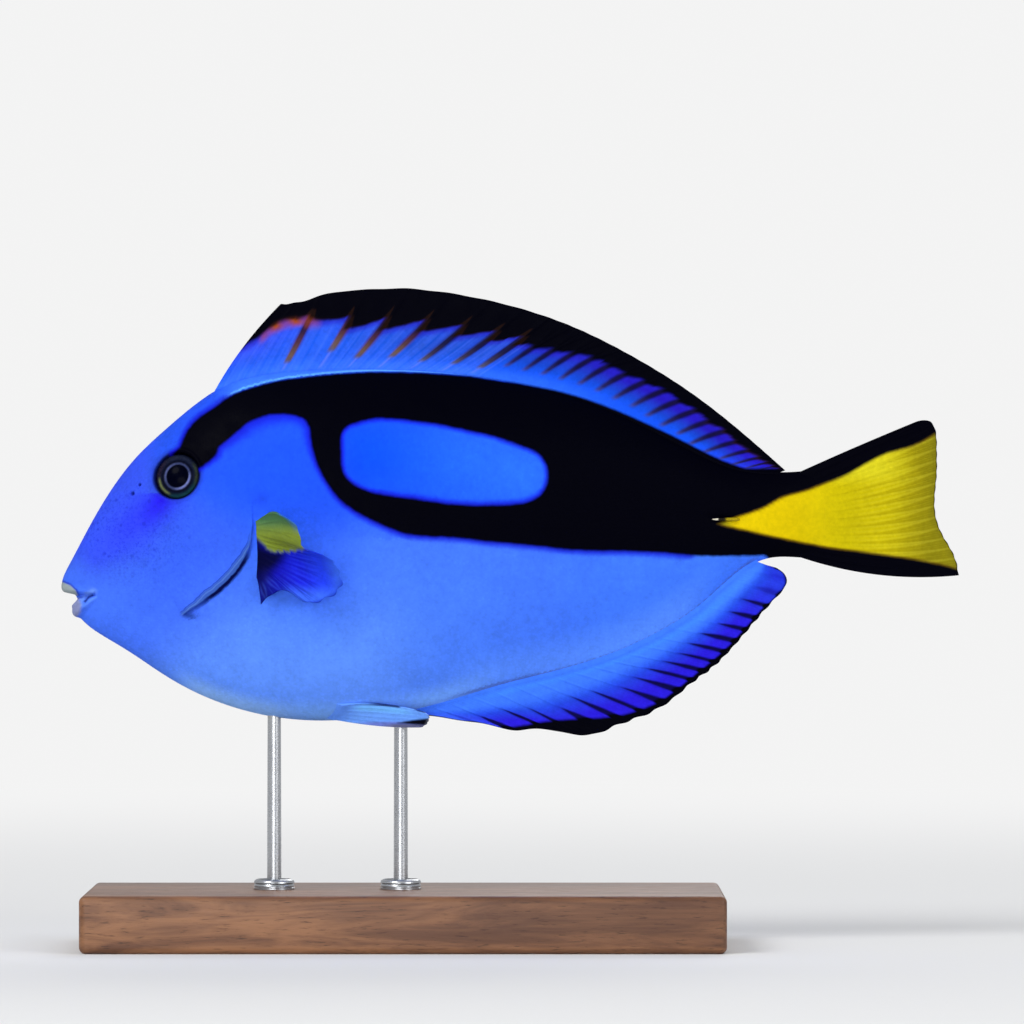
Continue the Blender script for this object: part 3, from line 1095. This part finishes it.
def make_dorsal_fin(finish):
    first, last = DORSAL_BASE_X

    def bow(s):
        hollow = 0.9 * np.sin(np.pi * s) * (1 - 2.2 * ramp(s, 0.35, 0.65))
        return 0.95 * np.maximum(0.0, 1 - s / 0.12) - hollow

    surface = median_surface(
        root_line(back, first, last), path(DORSAL_MARGIN), spline(DORSAL_LEAN), bow,
        wave=lambda s: 1.1 * np.sin(2 * np.pi * (1.4 * s + 0.1)) * (1 - s), inward=(0.25, -1.0))
    rays = spaced(DORSAL_SPINES, DORSAL_SPINE_STEP, DORSAL_SOFT_RAYS, last - first)
    rays[2:8] += np.array(DORSAL_SPINE_SHIFTS) / (last - first)
    b = Blade(surface, rays, 16, 64, DORSAL_SPINES, lambda s: 0.003 + 0.007 * ramp(s, 0.4, 0.1))
    s, out, soft = b.s + 0 * b.v, b.out, b.soft + 0 * b.v
    foot, off_ray = out * b.length, np.abs(b.phase) * b.spacing
    paint = tinted(plain((22, 80, 214), s), [
        ((17, 76, 226), ramp(s, 0.3, 0.6) * ramp(out, 0.5, 0.1)),
        ((46, 104, 240), 0.7 * ramp(foot, 5.0, 0.5) * ramp(s, 0.8, 0.5)),
        ((40, 66, 214), 0.6 * ramp(out, 0.35, 0.75) * ramp(s, 0.6, 0.3)),
        ((38, 24, 190), ramp(s, 0.35, 0.7) * ramp(out, 0.22, 0.6)),
        ((42, 32, 216), 0.8 * ramp(s, 0.82, 0.96)),
        ((52, 50, 214), 0.6 * ramp(s, 0.13, 0.02) * ramp(out, 0.1, 0.5))])
    paint = paint * (1 - 0.25 * ramp(out, 0.1, 0.35) * ramp(s, 0.15, 0.35))[..., None]
    fine = np.sin(b.phase * 26 + ray_random(b, 4, 0, 6)) * np.sin(b.phase * 11 + ray_random(b, 5, 0, 6))
    uneven = 0.07 * np.sin(1.3 * b.x + 1.1 * b.z) + 0.12 * np.sin(0.7 * b.x - 0.4 * b.z)
    uneven = uneven + ray_random(b, 9, -0.4, 0.4)
    reach = np.where(soft > 0, 0.8, 3.4) * ramp(s, 0.1, 0.16)
    black = 0.6 * (b.z - spline(DORSAL_DARK)(b.x) - reach * (b.past - 0.5) + uneven)
    feet = np.array([*STREAK_FEET, *np.zeros(DORSAL_SOFT_RAYS + 1)])[b.number]
    soft_feet = (0.2 - 0.1 * ramp(s, 0.6, 0.85) + ray_random(b, 7, -0.03, 0.04)) * b.length
    onward = foot - np.where(soft > 0, soft_feet, feet)
    grown = ramp(onward, 0.0, 7.0)
    streak_half = np.where(soft > 0, (0.13 + 0.07 * grown) * b.spacing, 0.84 + 0.2 * grown)
    soften = np.where(soft > 0, 0.12 * b.spacing, 0.34)
    streaked = b.number >= FIRST_STREAK
    shown = ramp(onward, -0.7, 0.9) * streaked * ramp(s, 0.985, 0.95)
    streak = shown * ramp(off_ray, streak_half + soften, streak_half - soften)
    paint = tinted(paint, [
        ((96, 132, 250), 0.1 * (1 + fine) * (1 - soft) * ramp(out, 0.8, 0.5)),
        ((104, 120, 226), 0.5 * streaked * ramp(foot, 0.2, 1.0) * bump(off_ray, 0.28) * (1 - soft)),
        ((30, 24, 172), 0.4 * shown * bump(off_ray, 1.7 * streak_half + 0.2) * grown),
        ((32, 24, 176), 0.7 * ramp(black, -1.6, -0.4))])
    brown = np.where((b.number < 6)[..., None], graded(onward, FRONT_STREAK), graded(onward, REAR_STREAK))
    brown = np.where((soft > 0)[..., None], graded(onward, SOFT_STREAK), brown)
    strength = (0.93 * streak)[..., None]
    paint = paint * (1 - strength) + brown * strength
    glow = ramp(b.x, -62.5, -59.5) * ramp(b.x, -45.5, -50.0) * (0.75 + 0.25 * np.sin(1.1 * b.x + 0.8 * b.z))
    # The brown of the spines' streaks runs on a little into the black margin, which they cross
    paint = tinted(paint, [
        (RUST, glow * ramp(black, -2.1, -0.8)),
        ((52, 20, 8), glow * ramp(black, -0.8, -0.3)),
        ((24, 11, 9), ramp(black, -0.45, 0.2) * (1 - soft) * (s > 0.03)),
        ((40, 17, 9), 0.9 * ramp(s, 0.72, 0.9) * ramp(black, -0.8, 0.1))])
    black = np.where((soft < 1) & streaked, black - 2.0 * streak * ramp(out, 0.92, 0.76), black)
    leading = 2.2 * ramp(s, 0.02, 0.0) * ramp(out, 0.25, 0.6) - 1.5
    below_band = np.where(b.x > -60, spline(BAND_TOP)(b.x) - b.z, NOT_BLACK)
    black = np.maximum(np.maximum(black, leading), below_band)
    return fin_piece("dorsal_fin", b, paint, black, "blue_fins", finish,
                     root=1.6, margin=0.34, ridge=0.2, ray_width=0.5)


def make_anal_fin(finish):
    first, last = ANAL_BASE_X
    surface = median_surface(
        root_line(belly, first, last), path(ANAL_MARGIN), spline(ANAL_LEAN),
        bow=lambda s: 0.3 * np.sin(np.pi * s),
        wave=lambda s: np.sin(2 * np.pi * (1.2 * s + 0.55)) * (1 - 0.6 * s), inward=(-0.35, 1.0))
    rays = spaced(ANAL_SPINES, ANAL_SPINE_STEP, ANAL_SOFT_RAYS, last - first)
    b = Blade(surface, rays, 16, 52, ANAL_SPINES, lambda s: 0.012 + 0.01 * np.sin(13 * s)**2)
    s, out = b.s + 0 * b.v, b.out
    foot, off_ray = out * b.length, np.abs(b.phase - 0.02) * b.spacing
    begin = 0.38 + ray_random(b, 11, -0.05, 0.08) + 0.1 * ramp(s, 0.16, 0.0)
    grown = ramp(out, begin, begin + ray_random(b, 12, 0.3, 0.5))
    streak_half = 0.1 + (0.13 + ray_random(b, 13, -0.03, 0.05)) * b.spacing * grown
    soften = 0.22 + 0.1 * grown
    streak = ramp(out, begin, begin + 0.14) * ramp(off_ray, streak_half + soften, streak_half - soften)
    streak *= ramp(s, 0.95, 0.88) * ramp(s, 0.03, 0.1)
    paint = tinted(plain((58, 114, 242), s), [
        ((32, 68, 208), ramp(out, 0.22, 0.5)),
        ((38, 26, 202), ramp(out, 0.38, 0.75) * (1 - 0.6 * ramp(s, 0.8, 0.97))),
        ((60, 112, 244), 0.7 * ramp(s, 0.12, 0.0)),
        ((62, 132, 250), 0.6 * bump(foot - 2.2, 1.2) * ramp(s, 0.1, 0.25) * ramp(s, 1.0, 0.85)),
        ((22, 20, 176), 0.55 * ramp(out, begin - 0.05, 0.8) * bump(off_ray, 0.9)),
        ((7, 4, 44), 0.95 * streak)])
    inner = spline(ANAL_DARK)(b.x) - b.z - 1.6 * ramp(s, 0.86, 0.94)
    rim = 0.7 - (1 - out) * b.length / 0.9
    black = np.maximum(inner, rim) + 0.9 * streak * ramp(out, 0.6, 0.92) - 0.3
    return fin_piece("anal_fin", b, paint, black, "blue_fins", finish,
                     root=1.5, margin=0.32, ridge=0.18, ray_width=0.45)


def make_tail_fin(finish):
    surface = median_surface(
        path(TAIL_ROOT), path(TAIL_MARGIN), lambda s: s, lambda s: 0.2 - 2.4 * s,
        wave=lambda s: 1.6 * np.sin(np.pi * (1.3 * s - 0.2)), inward=(-1.0, 0.0))
    b = Blade(surface, np.linspace(0, 1, TAIL_RAYS), 20, 72, 0, lambda s: 0.004 + 0 * s)
    shown = ramp(b.x, 80, 92)
    paint = tinted(tail_colour(b.x, b.z), [
        ((110, 98, 8), 0.26 * bump(b.from_ray, 0.3) * shown),
        ((222, 214, 60), 0.14 * bump(b.from_ray - 0.6, 0.3) * shown),
        ((214, 208, 40), 0.5 * ramp(b.z, 112, 117) * ramp(b.x, 100, 88) * ramp(b.x, 72, 82)),
        ((100, 94, 20), 0.35 * ramp(b.out, 0.92, 1.0))])
    black = np.maximum(-in_yellow(b.x, b.z), 0.3 - (1 - b.out) * b.length / 0.55)
    ends = 0.4 + 0.6 * np.sqrt(np.sin(np.pi * np.clip(b.s, 0.001, 0.999)))
    return fin_piece("tail_fin", b, paint, black, "tail_fin", finish,
                     root=2.3 * ends, margin=0.36, ridge=0.1, ray_width=0.4, flare=0.0)


def pectoral_surface(side):
    upper, lower = (np.array(p) for p in PECTORAL_ROOT)
    tips = path(PECTORAL_TIPS)

    def surface(s, v):
        s, v = np.broadcast_arrays(s, v)
        x, z = np.moveaxis(upper + (lower - upper) * s[..., None], -1, 0)
        start, end = np.stack([x, flank(x, z), z], axis=-1), tips(s)
        end[..., 1] += start[..., 1]
        bow = np.stack([0 * s, 0.9 * (0.4 + s), 1.3 * (1 - s)**4], axis=-1)
        place = spanned(start, end, v, bow, (0.3, -1.0, 0.0))
        out = np.maximum(v, 0)
        place[..., 1] += 0.9 * np.sqrt(out * (1 - out) + 1e-9)
        return place * (1, side, 1)

    return surface


def make_pectoral_fin(name, side, finish):
    b = Blade(pectoral_surface(side), np.linspace(0, 1, PECTORAL_RAYS), 12, 44, 1, lambda s: 0.03 + 0 * s)
    x, z, out, off = b.x, b.z, b.out, b.from_ray
    across = x + 0.25 * (z - 94)
    lined = ramp(out, 0.25, 0.6) * ramp(x, -45, -51)
    paint = tinted(plain((10, 12, 92), x), [
        ((17, 17, 164), ramp(across, -62.0, -57.0)),
        ((22, 30, 206), ramp(across, -57.5, -51.5)),
        ((34, 62, 232), ramp(across, -51.5, -46.5)),
        (FLANK, 0.9 * ramp(across, -46.5, -41.5)),
        (FLANK, 0.75 * ramp(z, 89.5, 85.5) * ramp(x, -57.0, -53.0)),
        ((26, 42, 196), 0.6 * ramp(out, 0.93, 0.99) * ramp(x, -51.0, -48.5) * ramp(z, 92.0, 89.0)),
        ((10, 18, 140), 0.5 * bump(off, 0.22) * lined),
        ((64, 96, 246), 0.2 * bump(off - 0.6, 0.3) * lined)])
    green = tint(plain((126, 144, 48), x), (80, 124, 70), ramp(z, 100.5, 105.0))
    green = green * (1 - 0.14 * bump(off, 0.25))[..., None]
    green = tint(green, (44, 104, 190), 0.75 * ramp(out, 0.78, 1.0) * ramp(z, 100.5, 104.5))
    fringe = 0.3 * (np.sin(3.7 * x) + 0.8 * np.sin(8.3 * x + 1.0)) * ramp(z, 99.5, 97.0)
    share = ramp(inside(x, z, PECTORAL_YELLOW) + fringe, -0.5, 0.8)[..., None]
    paint = paint * (1 - share) + green * share
    wedge = 0.95 * ramp(inside(x, z, PECTORAL_WEDGE), -1.8, 1.7) * ramp(z, 88.0, 94.0)
    paint = tint(paint, (3, 4, 40), wedge * (1 - share[..., 0]))
    return fin_piece(name, b, paint, NOT_BLACK, "pectoral_fins", finish,
                     root=1.0, margin=0.26, ridge=0.13, ray_width=0.32)


def pelvic_surface(side):
    spine_root, last_root = (np.array((x, float(flank(x, z)), z)) for x, z in PELVIC_ROOT)
    spine_tip, last_tip = (np.array(p) for p in PELVIC_TIPS)

    def surface(s, v):
        s, v = np.broadcast_arrays(s, v)
        start = spine_root + (last_root - spine_root) * s[..., None]
        end = spine_tip + (last_tip - spine_tip) * s[..., None]
        end[..., 0] -= 1.3 * np.abs(2 * s - 1)**3
        bow = np.stack([0 * s, 0.7 + 0 * s, 1.6 * s - 0.7], axis=-1)
        return spanned(start, end, v, bow, (-1.0, -0.15, 0.15)) * (1, side, 1)

    return surface


def make_pelvic_fin(name, side, finish):
    b = Blade(pelvic_surface(side), np.linspace(0, 1, PELVIC_RAYS), 10, 60, 1, lambda s: 0.01 + 0 * s)
    s, out, x, z = b.s + 0 * b.v, b.out, b.x, b.z
    slit = (0.35 + 0.65 * ramp(x, -36, -32)) * ramp(x, -41, -36) * ramp(x, -26.6, -27.6)
    slit = slit + ramp(x, -24.0, -22.6)
    paint = tinted(plain((104, 158, 250), s), [
        ((112, 190, 250), 0.6 * bump(s - 0.78, 0.15) * ramp(x, -41, -36) * ramp(x, -22, -28)),
        ((74, 118, 222), 0.12 * bump(b.from_ray, 0.14) * ramp(out, 0.1, 0.3)),
        ((88, 138, 242), 0.8 * ramp(out, 0.25, 0.02)),
        ((12, 20, 84), 0.9 * ramp(s, 0.9, 0.97) * slit),
        ((104, 104, 190), 0.7 * ramp(z, 55.6, 54.8) * ramp(x, -40, -33)),
        ((92, 92, 116), 0.85 * ramp(z, 54.9, 54.3) * ramp(x, -33, -28)),
        ((8, 8, 20), ramp(inside(x, z, PELVIC_WEDGE), -0.35, 0.3)),
        ((150, 160, 180), 0.35 * ramp(out, 0.96, 1.0))])
    return fin_piece(name, b, paint, NOT_BLACK, "blue_fins", finish,
                     root=1.0, margin=0.28, ridge=0.05, ray_width=0.32)


# Eyes


UP = Vector((0, 0, 1))


def eye_material():
    """A wet eye: painted iris and pupil under a clear coat."""
    n = Nodes("eye_finish")
    n.surface(specular=0.01, coat=0.011, coat_roughness=0.05)
    fibres = n.noise(n.place(), 1400.0, 3.0, 0.6)
    colour = n.shaded(n.attribute("paint", "Color"), n.spread(fibres, 0.25, 0.75, 0.72, 1.25, False))
    return n.finish(colour, n.spread(fibres, 0.3, 0.7, 0.22, 0.36, False), fibres, 0.15, 0.00002)


def make_eye(name, side, finish):
    """An eyeball with a pupil, a silver ring round it, a dark iris with olive arcs, and a raised cornea."""
    columns, rings = 96, 63
    skin, axis = eye_axis(side)
    right, out = np.array(UP.cross(axis).normalized()) * side, np.array(axis)
    upward = np.array(axis.cross(UP.cross(axis)).normalized())
    centre = np.array(skin + axis * (EYE_BULGE - EYE_DEPTH))
    turns = np.linspace(0, 2 * np.pi, columns, endpoint=False)
    share = np.arange(1, rings + 1) / rings
    r = EYE_RADIUS * np.sin(share * np.pi * 0.56)
    depth = EYE_DEPTH * np.cos(share * np.pi * 0.56) + CORNEA_RISE * bump(r, 3.3) * (share < 0.9)
    disc = np.stack([np.outer(r, np.cos(turns)), np.outer(r, np.sin(turns))], axis=-1)
    places = centre + disc[..., :1] * right + disc[..., 1:] * upward + depth[:, None, None] * out
    top, bottom = centre + out * (EYE_DEPTH + CORNEA_RISE), centre - out * 1.2
    vertices = np.array([top, *places.reshape(-1, 3), bottom])
    faces, _ = tube(rings, columns, capped=True)
    on_map = 0.5 + 0.48 * disc / EYE_RADIUS * (0.6 + 0.4 * share[:, None, None])
    uv_of = np.array([(0.5, 0.5), *on_map.reshape(-1, 2), (0.5, 0.01)])
    flat = np.array([(0.0, 0.0), *disc.reshape(-1, 2), (0.0, -EYE_RADIUS)])
    reach = np.array([0.0, *np.repeat(r, columns), EYE_RADIUS])
    gazing = flat - np.array(GAZE) * (1 - (reach[:, None] / EYE_RADIUS)**2)
    shade = np.linalg.norm(gazing, axis=1)
    angle = np.arctan2(gazing[:, 1], gazing[:, 0])
    toward = lambda degrees: np.cos(angle - math.radians(degrees))
    bright = np.minimum(0.12 + 0.88 * ramp(toward(222), 0.35, 0.97) + 0.25 * ramp(toward(20), 0.5, 1.0), 1)
    paint = tinted(plain((8, 14, 36), shade), [
        ((44, 50, 70), 0.4 * ramp(toward(100), 0.2, 1.0) * bump(shade - 4.8, 0.6)),
        ((60, 44, 56), 0.3 * ramp(toward(10), 0.6, 1.0) * bump(shade - 4.9, 0.5)),
        ((30, 76, 84), 0.6 * bump(shade - 5.0, 0.5) * ramp(toward(245), 0.5, 0.9)),
        ((106, 116, 72), 0.85 * bump(shade - 4.7, 0.3) * ramp(toward(322), 0.78, 0.96)),
        ((66, 78, 60), 0.6 * bump(shade - 5.0, 0.42) * ramp(toward(172), 0.75, 0.98)),
        ((6, 8, 24), ramp(shade, 2.6, 2.9) * ramp(shade, 4.2, 3.7)),
        ((128, 138, 204), 0.85 * bright * bump(shade - 3.15, 0.27)),
        ((60, 72, 120), 0.4 * bump(shade - 3.15, 0.27)),
        ((0, 1, 14), ramp(shade, 2.95, 2.72)),
        ((8, 14, 44), ramp(reach, 5.3, 5.7))])
    mesh = new_mesh(name + "_ball", vertices, faces, uv_of[np.concatenate(faces)])
    give_colours(mesh, paint)
    turn_outwards(mesh)
    return hand_over(new_object(name + "_ball", mesh), finish, "eyes", name)


# Tail spines


def make_tail_spine(name, side, finish):
    """The bony blade folded forwards in its groove: flattened, tapered and slightly curved."""
    x, z = SCALPEL_AT
    rings, columns = 40, 20
    rear = flank_point(x + SCALPEL_LENGTH / 2, z, side) - flank_normal(x, z, side) * 0.35
    tip = flank_point(x - SCALPEL_LENGTH / 2, z, side) + Vector((0, side * 0.62, 0))
    share = np.linspace(0, 1, rings)
    middle = np.array(rear) + np.outer(share, tip - rear)
    middle[:, 1] += side * 0.3 * np.sin(np.pi * share)
    thick = SCALPEL_RADIUS * np.sqrt(np.clip(1 - share**1.7, 0.004, 1)) * np.minimum(1, 0.35 + 6 * share)
    turns = np.linspace(0, 2 * np.pi, columns, endpoint=False)
    ring = np.column_stack([np.zeros(columns), 0.7 * np.cos(turns), 0.5 * np.sin(turns)])
    places = middle[:, None, :] + thick[:, None, None] * ring
    faces, corners = tube(rings, columns, capped=True)
    along = np.array([0.0, *np.repeat(share, columns), 1.0])
    paint = tinted(plain((168, 148, 10), along), [
        ((26, 22, 10), ramp(along, 0.42, 0.56)),
        (IVORY, ramp(along, 0.74, 0.8) * (1 - 0.8 * ramp(along, 0.93, 1.0)))])
    uvs = [(0.1 + 0.8 * i / (rings - 1), 0.1 + 0.8 * j / columns) for i, j in corners]
    mesh = new_mesh(name + "_blade", [middle[0], *places.reshape(-1, 3), middle[-1]], faces, uvs)
    give_colours(mesh, paint)
    turn_outwards(mesh)
    return hand_over(new_object(name + "_blade", mesh), finish, "tail_spines", name)


def bone_material():
    n = Nodes("tail_spine_finish")
    n.surface(specular=0.12)
    grain = n.noise(n.place(), 2600.0)
    colour = n.shaded(n.attribute("paint", "Color"), n.spread(grain, 0.35, 0.7, 1.0, 0.72))
    return n.finish(colour, n.spread(grain, 0.3, 0.7, 0.3, 0.5, False), grain, 0.2, 0.00002)


# The stand


def wood_material():
    """Oiled walnut: long grain, darker pores and a satin finish."""
    n = Nodes("stand_wood_finish")
    n.surface(specular=0.35, coat=0.12, coat_roughness=0.35)
    along = n.stretched(n.place(), (1.0, 9.0, 9.0))
    drift = n.noise(along, 7.0, 3.0, 0.5)
    bands = n.noise(along, 26.0, 5.0, 0.6, 1.2)
    pores = n.noise(along, 210.0, 3.0, 0.65)
    colour = n.mix(n.spread(bands, 0.3, 0.72), rgba(WALNUT), rgba(WALNUT_LIGHT))
    colour = n.mix(n.times(n.spread(drift, 0.35, 0.7), 0.5), colour, rgba(WALNUT_DARK))
    colour = n.mix(n.times(n.spread(pores, 0.56, 0.72), 0.7), colour, rgba(WALNUT_PORES))
    roughness = n.spread(pores, 0.3, 0.7, 0.36, 0.55, False)
    return n.finish(colour, roughness, n.math("SUBTRACT", 1.0, pores), 0.35, 0.00012)


def steel_material():
    """Turned stainless steel with fine marks round the axis."""
    n = Nodes("stand_steel_finish")
    n.surface(metallic=1.0)
    where = n.place()
    marks = n.noise(n.stretched(where, (0.1, 0.1, 5.0)), 1600.0, 3.0, 0.6)
    colour = n.mix(n.noise(where, 120.0), rgba(STEEL_DARK), rgba(STEEL_LIGHT))
    return n.finish(colour, n.spread(marks, 0.3, 0.7, 0.24, 0.32, False), marks, 0.05, 0.000006)


def turned(name, ending, profile, x, finish, sides=64):
    """A steel piece turned on a lathe: a profile of (radius, height) run round the vertical line at x."""
    turns = np.linspace(0, 2 * np.pi, sides, endpoint=False)
    vertices = [(x + r * math.cos(t), r * math.sin(t), height) for r, height in profile for t in turns]
    faces, corners = tube(len(profile), sides, looped=True)
    uvs = [(0.02 + 0.96 * j / sides, 0.02 + 0.96 * i / len(profile)) for i, j in corners]
    mesh = new_mesh(name + ending, vertices, faces, uvs)
    turn_outwards(mesh)
    piece = new_object(name + ending, mesh)
    mesh.set_sharp_from_angle(angle=math.radians(50))
    return hand_over(piece, finish, "stand_steel", name)


def rounded(corner, inward, upward, radius, steps=5):
    """Points of a rounded corner of a turned profile. inward and upward are -1 or 1."""
    angles = [math.pi / 2 * k / steps for k in range(steps + 1)]
    return [(corner[0] + inward * radius * (1 - math.sin(a)), corner[1] + upward * radius * (1 - math.cos(a)))
            for a in angles]


def make_stand():
    wood, steel = wood_material(), steel_material()
    length, width, height = BASE_SIZE
    work = bmesh.new()
    bmesh.ops.create_cube(work, size=MM)
    place = Matrix.Translation(Vector((BASE_CENTRE_X, 0, height / 2)) * MM)
    bmesh.ops.transform(work, matrix=place @ Matrix.Diagonal((length, width, height, 1)), verts=work.verts)
    bmesh.ops.bevel(work, geom=work.edges[:], offset=BASE_BEVEL * MM, offset_type="OFFSET", segments=6,
                    profile=0.5, affect="EDGES")
    mesh = bpy.data.meshes.new("stand_base_block")
    work.to_mesh(mesh)
    work.free()
    base = new_object("stand_base_block", mesh)
    mesh.set_sharp_from_angle(angle=math.radians(40))
    hand_over(base, wood, "stand_wood", "stand_base")
    bore, top = ROD_RADIUS + 0.06, height + GAP + COLLAR_HEIGHT
    for where, x in ROD_X.items():
        low, high = height - ROD_IN_BASE, float(belly(x)) + ROD_IN_BODY
        rod = [(0.01, high), *reversed(rounded((ROD_RADIUS, high), -1, -1, 0.4)),
               *rounded((ROD_RADIUS, low), -1, 1, 0.2), (0.01, low)]
        turned("stand_rod_" + where, "_bar", rod, x, steel, 48)
        # A collar with a rounded top edge and a fine groove round its foot
        collar = [(bore, top - 0.15), *reversed(rounded((COLLAR_RADIUS, top), -1, -1, 0.9)),
                  *[(COLLAR_RADIUS - inwards, height + up) for inwards, up in COLLAR_SIDE],
                  (bore, height + 0.05)]
        turned("stand_collar_" + where, "_ring", collar, x, steel)


# Studio


def ring_mesh(name, profile, finish, sides=96):
    """A part of the stage turned round the vertical axis, from its (radius, height) profile in metres."""
    turns = np.linspace(0, 2 * np.pi, sides, endpoint=False)
    mesh = bpy.data.meshes.new(name)
    mesh.from_pydata([(r * math.cos(t), r * math.sin(t), h) for r, h in profile for t in turns], [],
                     [face[::-1] for face in tube(len(profile), sides)[0]])
    mesh.materials.append(finish)
    piece = new_object(name, mesh)
    return piece


def stage_material(name, fades):
    """The pale glow of the backdrop, into which the floor's matt white fades with distance."""
    n = Nodes(name)
    n.tree.nodes.remove(n.tree.nodes["Principled BSDF"])
    glow = n.add("ShaderNodeEmission")
    n.feed(glow, Color=(1.0, 1.0, 1.0, 1.0), Strength=BACKDROP_GLOW)
    result = glow.outputs[0]
    if fades:
        matt, mixed = n.add("ShaderNodeBsdfDiffuse"), n.add("ShaderNodeMixShader")
        n.feed(matt, Color=(FLOOR_WHITE, FLOOR_WHITE, FLOOR_WHITE, 1.0))
        length = n.add("ShaderNodeVectorMath", operation="LENGTH")
        n.link(n.place(), length.inputs[0])
        shares = (n.spread(length.outputs["Value"], 0.25, 1.15), matt.outputs[0], result)
        for output, target in zip(shares, mixed.inputs):
            n.link(output, target)
        result = mixed.outputs[0]
    n.link(result, n.tree.nodes["Material Output"].inputs["Surface"])
    return n.made


def studio():
    """A pale floor that fades into a pale bowl round it, and soft lights."""
    floor = [(r, 0.0) for r in (0.0001, 0.1, 0.25, 0.5, 0.8, 1.2)]
    ring_mesh("floor", floor, stage_material("floor_finish", True))
    wall = [(1.2, 0.0), (2.0, 0.0), (3.0, 0.0)]
    wall += [(3.0 + 3.0 * math.sin(a), 3.0 - 3.0 * math.cos(a)) for a in np.linspace(0, math.pi / 2, 16)[1:]]
    backdrop = ring_mesh("backdrop", [*wall, (6.0, 6.5)], stage_material("backdrop_finish", False))
    for seen_by in ("visible_diffuse", "visible_glossy", "visible_transmission", "visible_shadow"):
        setattr(backdrop, seen_by, False)
    world = bpy.data.worlds.new("studio")
    bpy.context.scene.world = world
    world.use_nodes = True
    world.node_tree.nodes["Background"].inputs["Color"].default_value = (0.96, 0.975, 1.0, 1)
    world.node_tree.nodes["Background"].inputs["Strength"].default_value = WORLD_STRENGTH
    for name, place, size, power in LIGHTS:
        light = bpy.data.lights.new(name, "AREA")
        light.shape, light.size, light.energy = "DISK", size, power
        lamp = bpy.data.objects.new(name, light)
        bpy.context.scene.collection.objects.link(lamp)
        lamp.location = place
        lamp.rotation_euler = (Vector(LIGHTS_AIM) - Vector(place)).to_track_quat("-Z", "Y").to_euler()
        lamp.visible_camera = False


BACKDROP_GLOW = 0.90
FLOOR_WHITE = 0.74
WORLD_STRENGTH = 0.55
LIGHTS = [("key_light", (-1.3, -1.5, 1.7), 1.1, 31.0), ("fill_light", (1.5, -1.4, 0.7), 1.2, 14.0),
          ("low_light", (-0.3, -1.5, 0.12), 0.8, 8.0), ("back_light", (0.4, 1.7, 1.3), 1.2, 12.0)]
LIGHTS_AIM = (0, 0, 0.1)

# The camera stands level with the middle of the view, far enough off to show the flank almost flat
CAMERA_DISTANCE = 2.0
VIEW_WIDTH = 0.25088
CAMERA_AT = (0.000245, -CAMERA_DISTANCE, 0.1064)


def make_camera():
    data = bpy.data.cameras.new("camera")
    camera = bpy.data.objects.new("camera", data)
    bpy.context.scene.collection.objects.link(camera)
    data.sensor_width = 36.0
    data.lens = 36.0 * CAMERA_DISTANCE / VIEW_WIDTH
    data.clip_start, data.clip_end = 0.05, 30.0
    camera.location = CAMERA_AT
    camera.rotation_euler = (math.pi / 2, 0, 0)
    bpy.context.scene.camera = camera


bpy.context.scene.view_settings.view_transform = "Standard"
make_camera()
studio()
make_stand()
skin_finish = fish_material("skin_finish", fin=False, grain_height=0.00003, edge_noise=0.5, speckle=0.05)
skin_mesh = make_skin(skin_finish).data
for side_name, side in (("left", -1), ("right", 1)):
    make_scales("scales_" + side_name, side, skin_mesh, skin_finish)
fin_finish = fish_material("fin_finish", fin=True, grain_height=0.00004, edge_noise=0.3, speckle=0.06)
make_dorsal_fin(fin_finish)
make_anal_fin(fin_finish)
make_tail_fin(fin_finish)
eye_finish, bone_finish = eye_material(), bone_material()
for side_name, side in (("left", -1), ("right", 1)):
    make_eye("eye_" + side_name, side, eye_finish)
    make_pectoral_fin("pectoral_fin_" + side_name, side, fin_finish)
    make_pelvic_fin("pelvic_fin_" + side_name, side, fin_finish)
    make_tail_spine("tail_spine_" + side_name, side, bone_finish)
